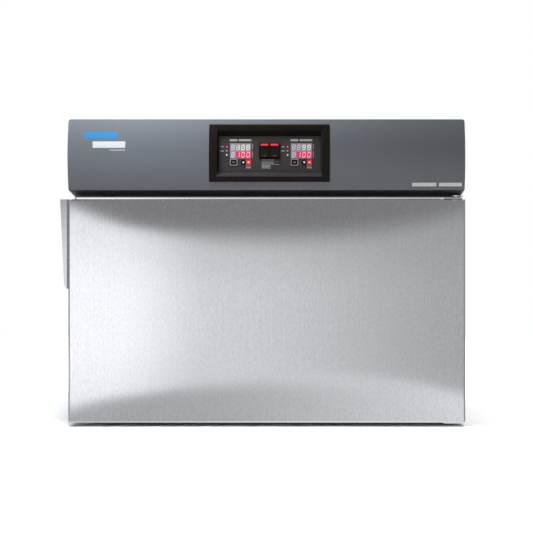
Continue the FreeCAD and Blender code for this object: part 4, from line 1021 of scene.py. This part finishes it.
def fascia_prints():
    """Plain bars where the cabinet carries its badge and its name, in millimetres on the arc."""
    def curved_bar(name, x0, x1, z0, z1, finish):
        steps = 6
        levels = [z0 + (z1 - z0) * step / steps for step in range(steps + 1)]
        outline = [(arc_face(z * MM) - 2 * PRINT, z * MM) for z in levels]
        outline += [(arc_face(z * MM), z * MM) for z in reversed(levels)]
        shape = loft([[(x * MM, y, z) for y, z in outline] for x in (x0, x1)])
        make(name, shape, "cabinet", "charcoal", finish=finish)

    curved_bar("badge_bar_upper", -307, -252, 489, 500, BADGE_BLUE)
    curved_bar("badge_bar_lower", -293, -238, 473, 484, BADGE_PALE)
    curved_bar("badge_line", -264, -238, 468.6, 469.8, PALE_INK)
    curved_bar("name_bar_first", 246, 287, 408.5, 414.5, WHITE_INK)
    curved_bar("name_bar_second", 291.5, 330.5, 408.5, 414.5, WHITE_INK)


# Stage.


def studio_world():
    """White to the camera. To metal, a grey studio with a bright soft wall low on the left.

    Places are shares of a unit direction, across to the right and in height. Levels are
    brightnesses, with white at one.
    """
    world = bpy.data.worlds.new("studio")
    bpy.context.scene.world = world
    world.use_nodes = True
    tree = NodeTree(world.node_tree)
    coords = tree.add("ShaderNodeTexCoord").outputs["Generated"]
    way = tree.add("ShaderNodeSeparateXYZ", {"Vector": coords})
    across, height = way.outputs["X"], way.outputs["Z"]

    def math_of(operation, first, second):
        node = tree.add("ShaderNodeMath", {0: first, 1: second}, operation=operation)
        return node.outputs["Value"]

    def ramp(value, start, end, low=0.0, high=1.0):
        """A soft change from low to high while the value goes from start to end."""
        return tree.add("ShaderNodeMapRange", {
            "Value": value, "From Min": start, "From Max": end, "To Min": low, "To Max": high,
        }, interpolation_type="SMOOTHSTEP").outputs["Result"]

    def blend(share, first, second):
        return tree.add("ShaderNodeMix", {"Factor": share, "A": first, "B": second},
                        data_type="FLOAT").outputs["Result"]

    def over(line, width):
        """How far a direction is over a level line, from 0 to 1 within the line's softness."""
        return ramp(math_of("DIVIDE", math_of("SUBTRACT", height, line), width), -0.5, 0.5)

    # The wall, brightest at the left, and dimmer at its right, its top and its left foot
    wall = ramp(across, -0.14, -0.065, 1.18, 0.785)
    right_shade = ramp(across, -0.08, 0.13, 1.0, 0.60)
    top_shade = ramp(height, -0.02, 0.04, 1.0, 0.85)
    foot_shade = blend(ramp(across, -0.10, -0.06), ramp(height, -0.10, -0.05, 0.915, 1.0), 1.0)
    for shade in (right_shade, top_shade, foot_shade):
        wall = math_of("MULTIPLY", wall, shade)

    # A paler strip low on the wall, from the middle to the right
    strip = blend(ramp(across, -0.06, -0.01), wall, ramp(across, 0.05, 0.13, 0.725, 0.88))
    level = blend(over(-0.086, 0.008), strip, wall)

    # The ground below it, darkest at the left
    ground = ramp(across, -0.12, 0.26, 0.46, 1.0)
    ground_line = ramp(across, -0.155, -0.105, -0.0950, -0.0985)
    ground_softness = ramp(across, -0.11, -0.055, 0.007, 0.018)
    level = blend(over(ground_line, ground_softness), ground, level)

    # The dark overhead, with its edge softest in the middle
    overhead = ramp(height, 0.40, 0.9, 0.235, 0.7)
    overhead_line = ramp(across, -0.16, -0.128, 0.0405, 0.038)
    overhead_softness = blend(ramp(across, 0.04, 0.09),
                              ramp(across, -0.11, -0.055, 0.011, 0.030), 0.018)
    level = blend(over(overhead_line, overhead_softness), level, overhead)

    # Plain greys far to the left, far to the right and straight down
    level = blend(ramp(across, -0.55, -0.25), 0.34, level)
    level = blend(ramp(across, 0.25, 0.55), level, 0.26)
    level = blend(ramp(height, -0.6, -0.2), ramp(across, -0.14, 0.0, 0.68, 0.85), level)

    camera_ray = tree.add("ShaderNodeLightPath").outputs["Is Camera Ray"]
    tree.feed(world.node_tree.nodes["Background"], {"Color": blend(camera_ray, level, 1.0)})


def studio_floor():
    """A white floor that keeps the contact shadow and leaves the metal its own surroundings.

    The camera sees it lifted by a gain that varies by place. A first mirror ray passes through
    it, and to all other light it is plain white.
    """
    corners = [(x * FLOOR_HALF, y * FLOOR_HALF, 0) for x, y in ((-1, -1), (1, -1), (1, 1), (-1, 1))]
    mesh = bpy.data.meshes.new("studio_floor")
    mesh.from_pydata(corners, [], [[0, 1, 2, 3]])
    floor = placed("studio_floor", mesh)
    finish = Finish("floor_white")
    finish.shade(
        Base_Color=finish.tint((0.8, 0.8, 0.8), finish.spread(finish.noise(5), 0.99, 1.01)),
        Roughness=0.9, Specular_IOR_Level=0.0,
    )
    path = finish.add("ShaderNodeLightPath")
    side = finish.add("ShaderNodeSeparateXYZ", {"Vector": finish.coords}).outputs["X"]
    reach = finish.add("ShaderNodeVectorMath", {0: finish.coords}, operation="LENGTH")
    near = finish.spread(side, FLOOR_GAIN_LEFT, FLOOR_GAIN_RIGHT, -FLOOR_SIDE, FLOOR_SIDE)
    gain = finish.spread(reach.outputs["Value"], near, FLOOR_GAIN_FAR, FLOOR_NEAR, FLOOR_FAR)
    bright = finish.add("ShaderNodeBsdfDiffuse", {"Color": gain})
    seen = finish.add("ShaderNodeMixShader", {
        "Fac": path.outputs["Is Camera Ray"], 1: finish.surface.outputs["BSDF"],
        2: bright.outputs["BSDF"],
    })
    clear = finish.add("ShaderNodeBsdfTransparent")
    direct = finish.add("ShaderNodeMath", {0: path.outputs["Ray Depth"], 1: FIRST_BOUNCE_DEPTH},
                        operation="LESS_THAN")
    mirrored = finish.add("ShaderNodeMath", {
        0: path.outputs["Is Glossy Ray"], 1: direct.outputs["Value"],
    }, operation="MULTIPLY")
    final = finish.add("ShaderNodeMixShader", {
        "Fac": mirrored.outputs["Value"], 1: seen.outputs["Shader"], 2: clear.outputs["BSDF"],
    })
    finish.feed(finish.output, {"Surface": final.outputs["Shader"]})
    mesh.materials.append(finish.material)


def area_lamp(name, place, target, size, power, color=(1, 1, 1), spread=math.pi):
    """A square soft lamp that shows in nothing polished."""
    lamp = bpy.data.lights.new(name, "AREA")
    lamp.energy = power
    lamp.color = color
    lamp.size = size
    lamp.shape = "SQUARE"
    lamp.spread = spread
    holder = placed(name, lamp)
    holder.location = place
    holder.rotation_euler = (Vector(target) - Vector(place)).to_track_quat("-Z", "Y").to_euler()
    holder.visible_glossy = False


def studio_lamps():
    """A small cool lamp close to the head's left part, and a broad one over the whole."""
    area_lamp("key_lamp", (-0.27, -0.58, 1.10), (-0.23, -0.27, 0.50), size=0.2, power=3.0,
              color=(0.86, 0.93, 1.0), spread=math.radians(90))
    area_lamp("top_lamp", (0.12, 0.2, 2.4), (0, 0, 0.3), size=1.4, power=22)


def camera():
    """A level camera with a long lens, shifted sideways to keep the front square on."""
    lens = bpy.data.cameras.new("camera")
    lens.lens = CAMERA_LENS
    lens.shift_x = CAMERA_SHIFT
    holder = placed("camera", lens)
    holder.location = CAMERA_PLACE
    holder.rotation_euler = (math.pi / 2, 0, 0)
    bpy.context.scene.camera = holder


def build():
    """Dresses the part and sets up the stage round it."""
    dress_frame()
    for make_piece in (door_front, door_core, gasket, handle, all_screws, frame_reveal, hinge_caps,
                       fascia, bezel, overlay, panel_prints, lamps, keys, rocker_switches,
                       fascia_prints):
        make_piece()
    for side in SIDES:
        readout(side)
    for set_up in (studio_world, studio_floor, studio_lamps, camera):
        set_up()
    bpy.context.scene.view_settings.view_transform = "Standard"


build()
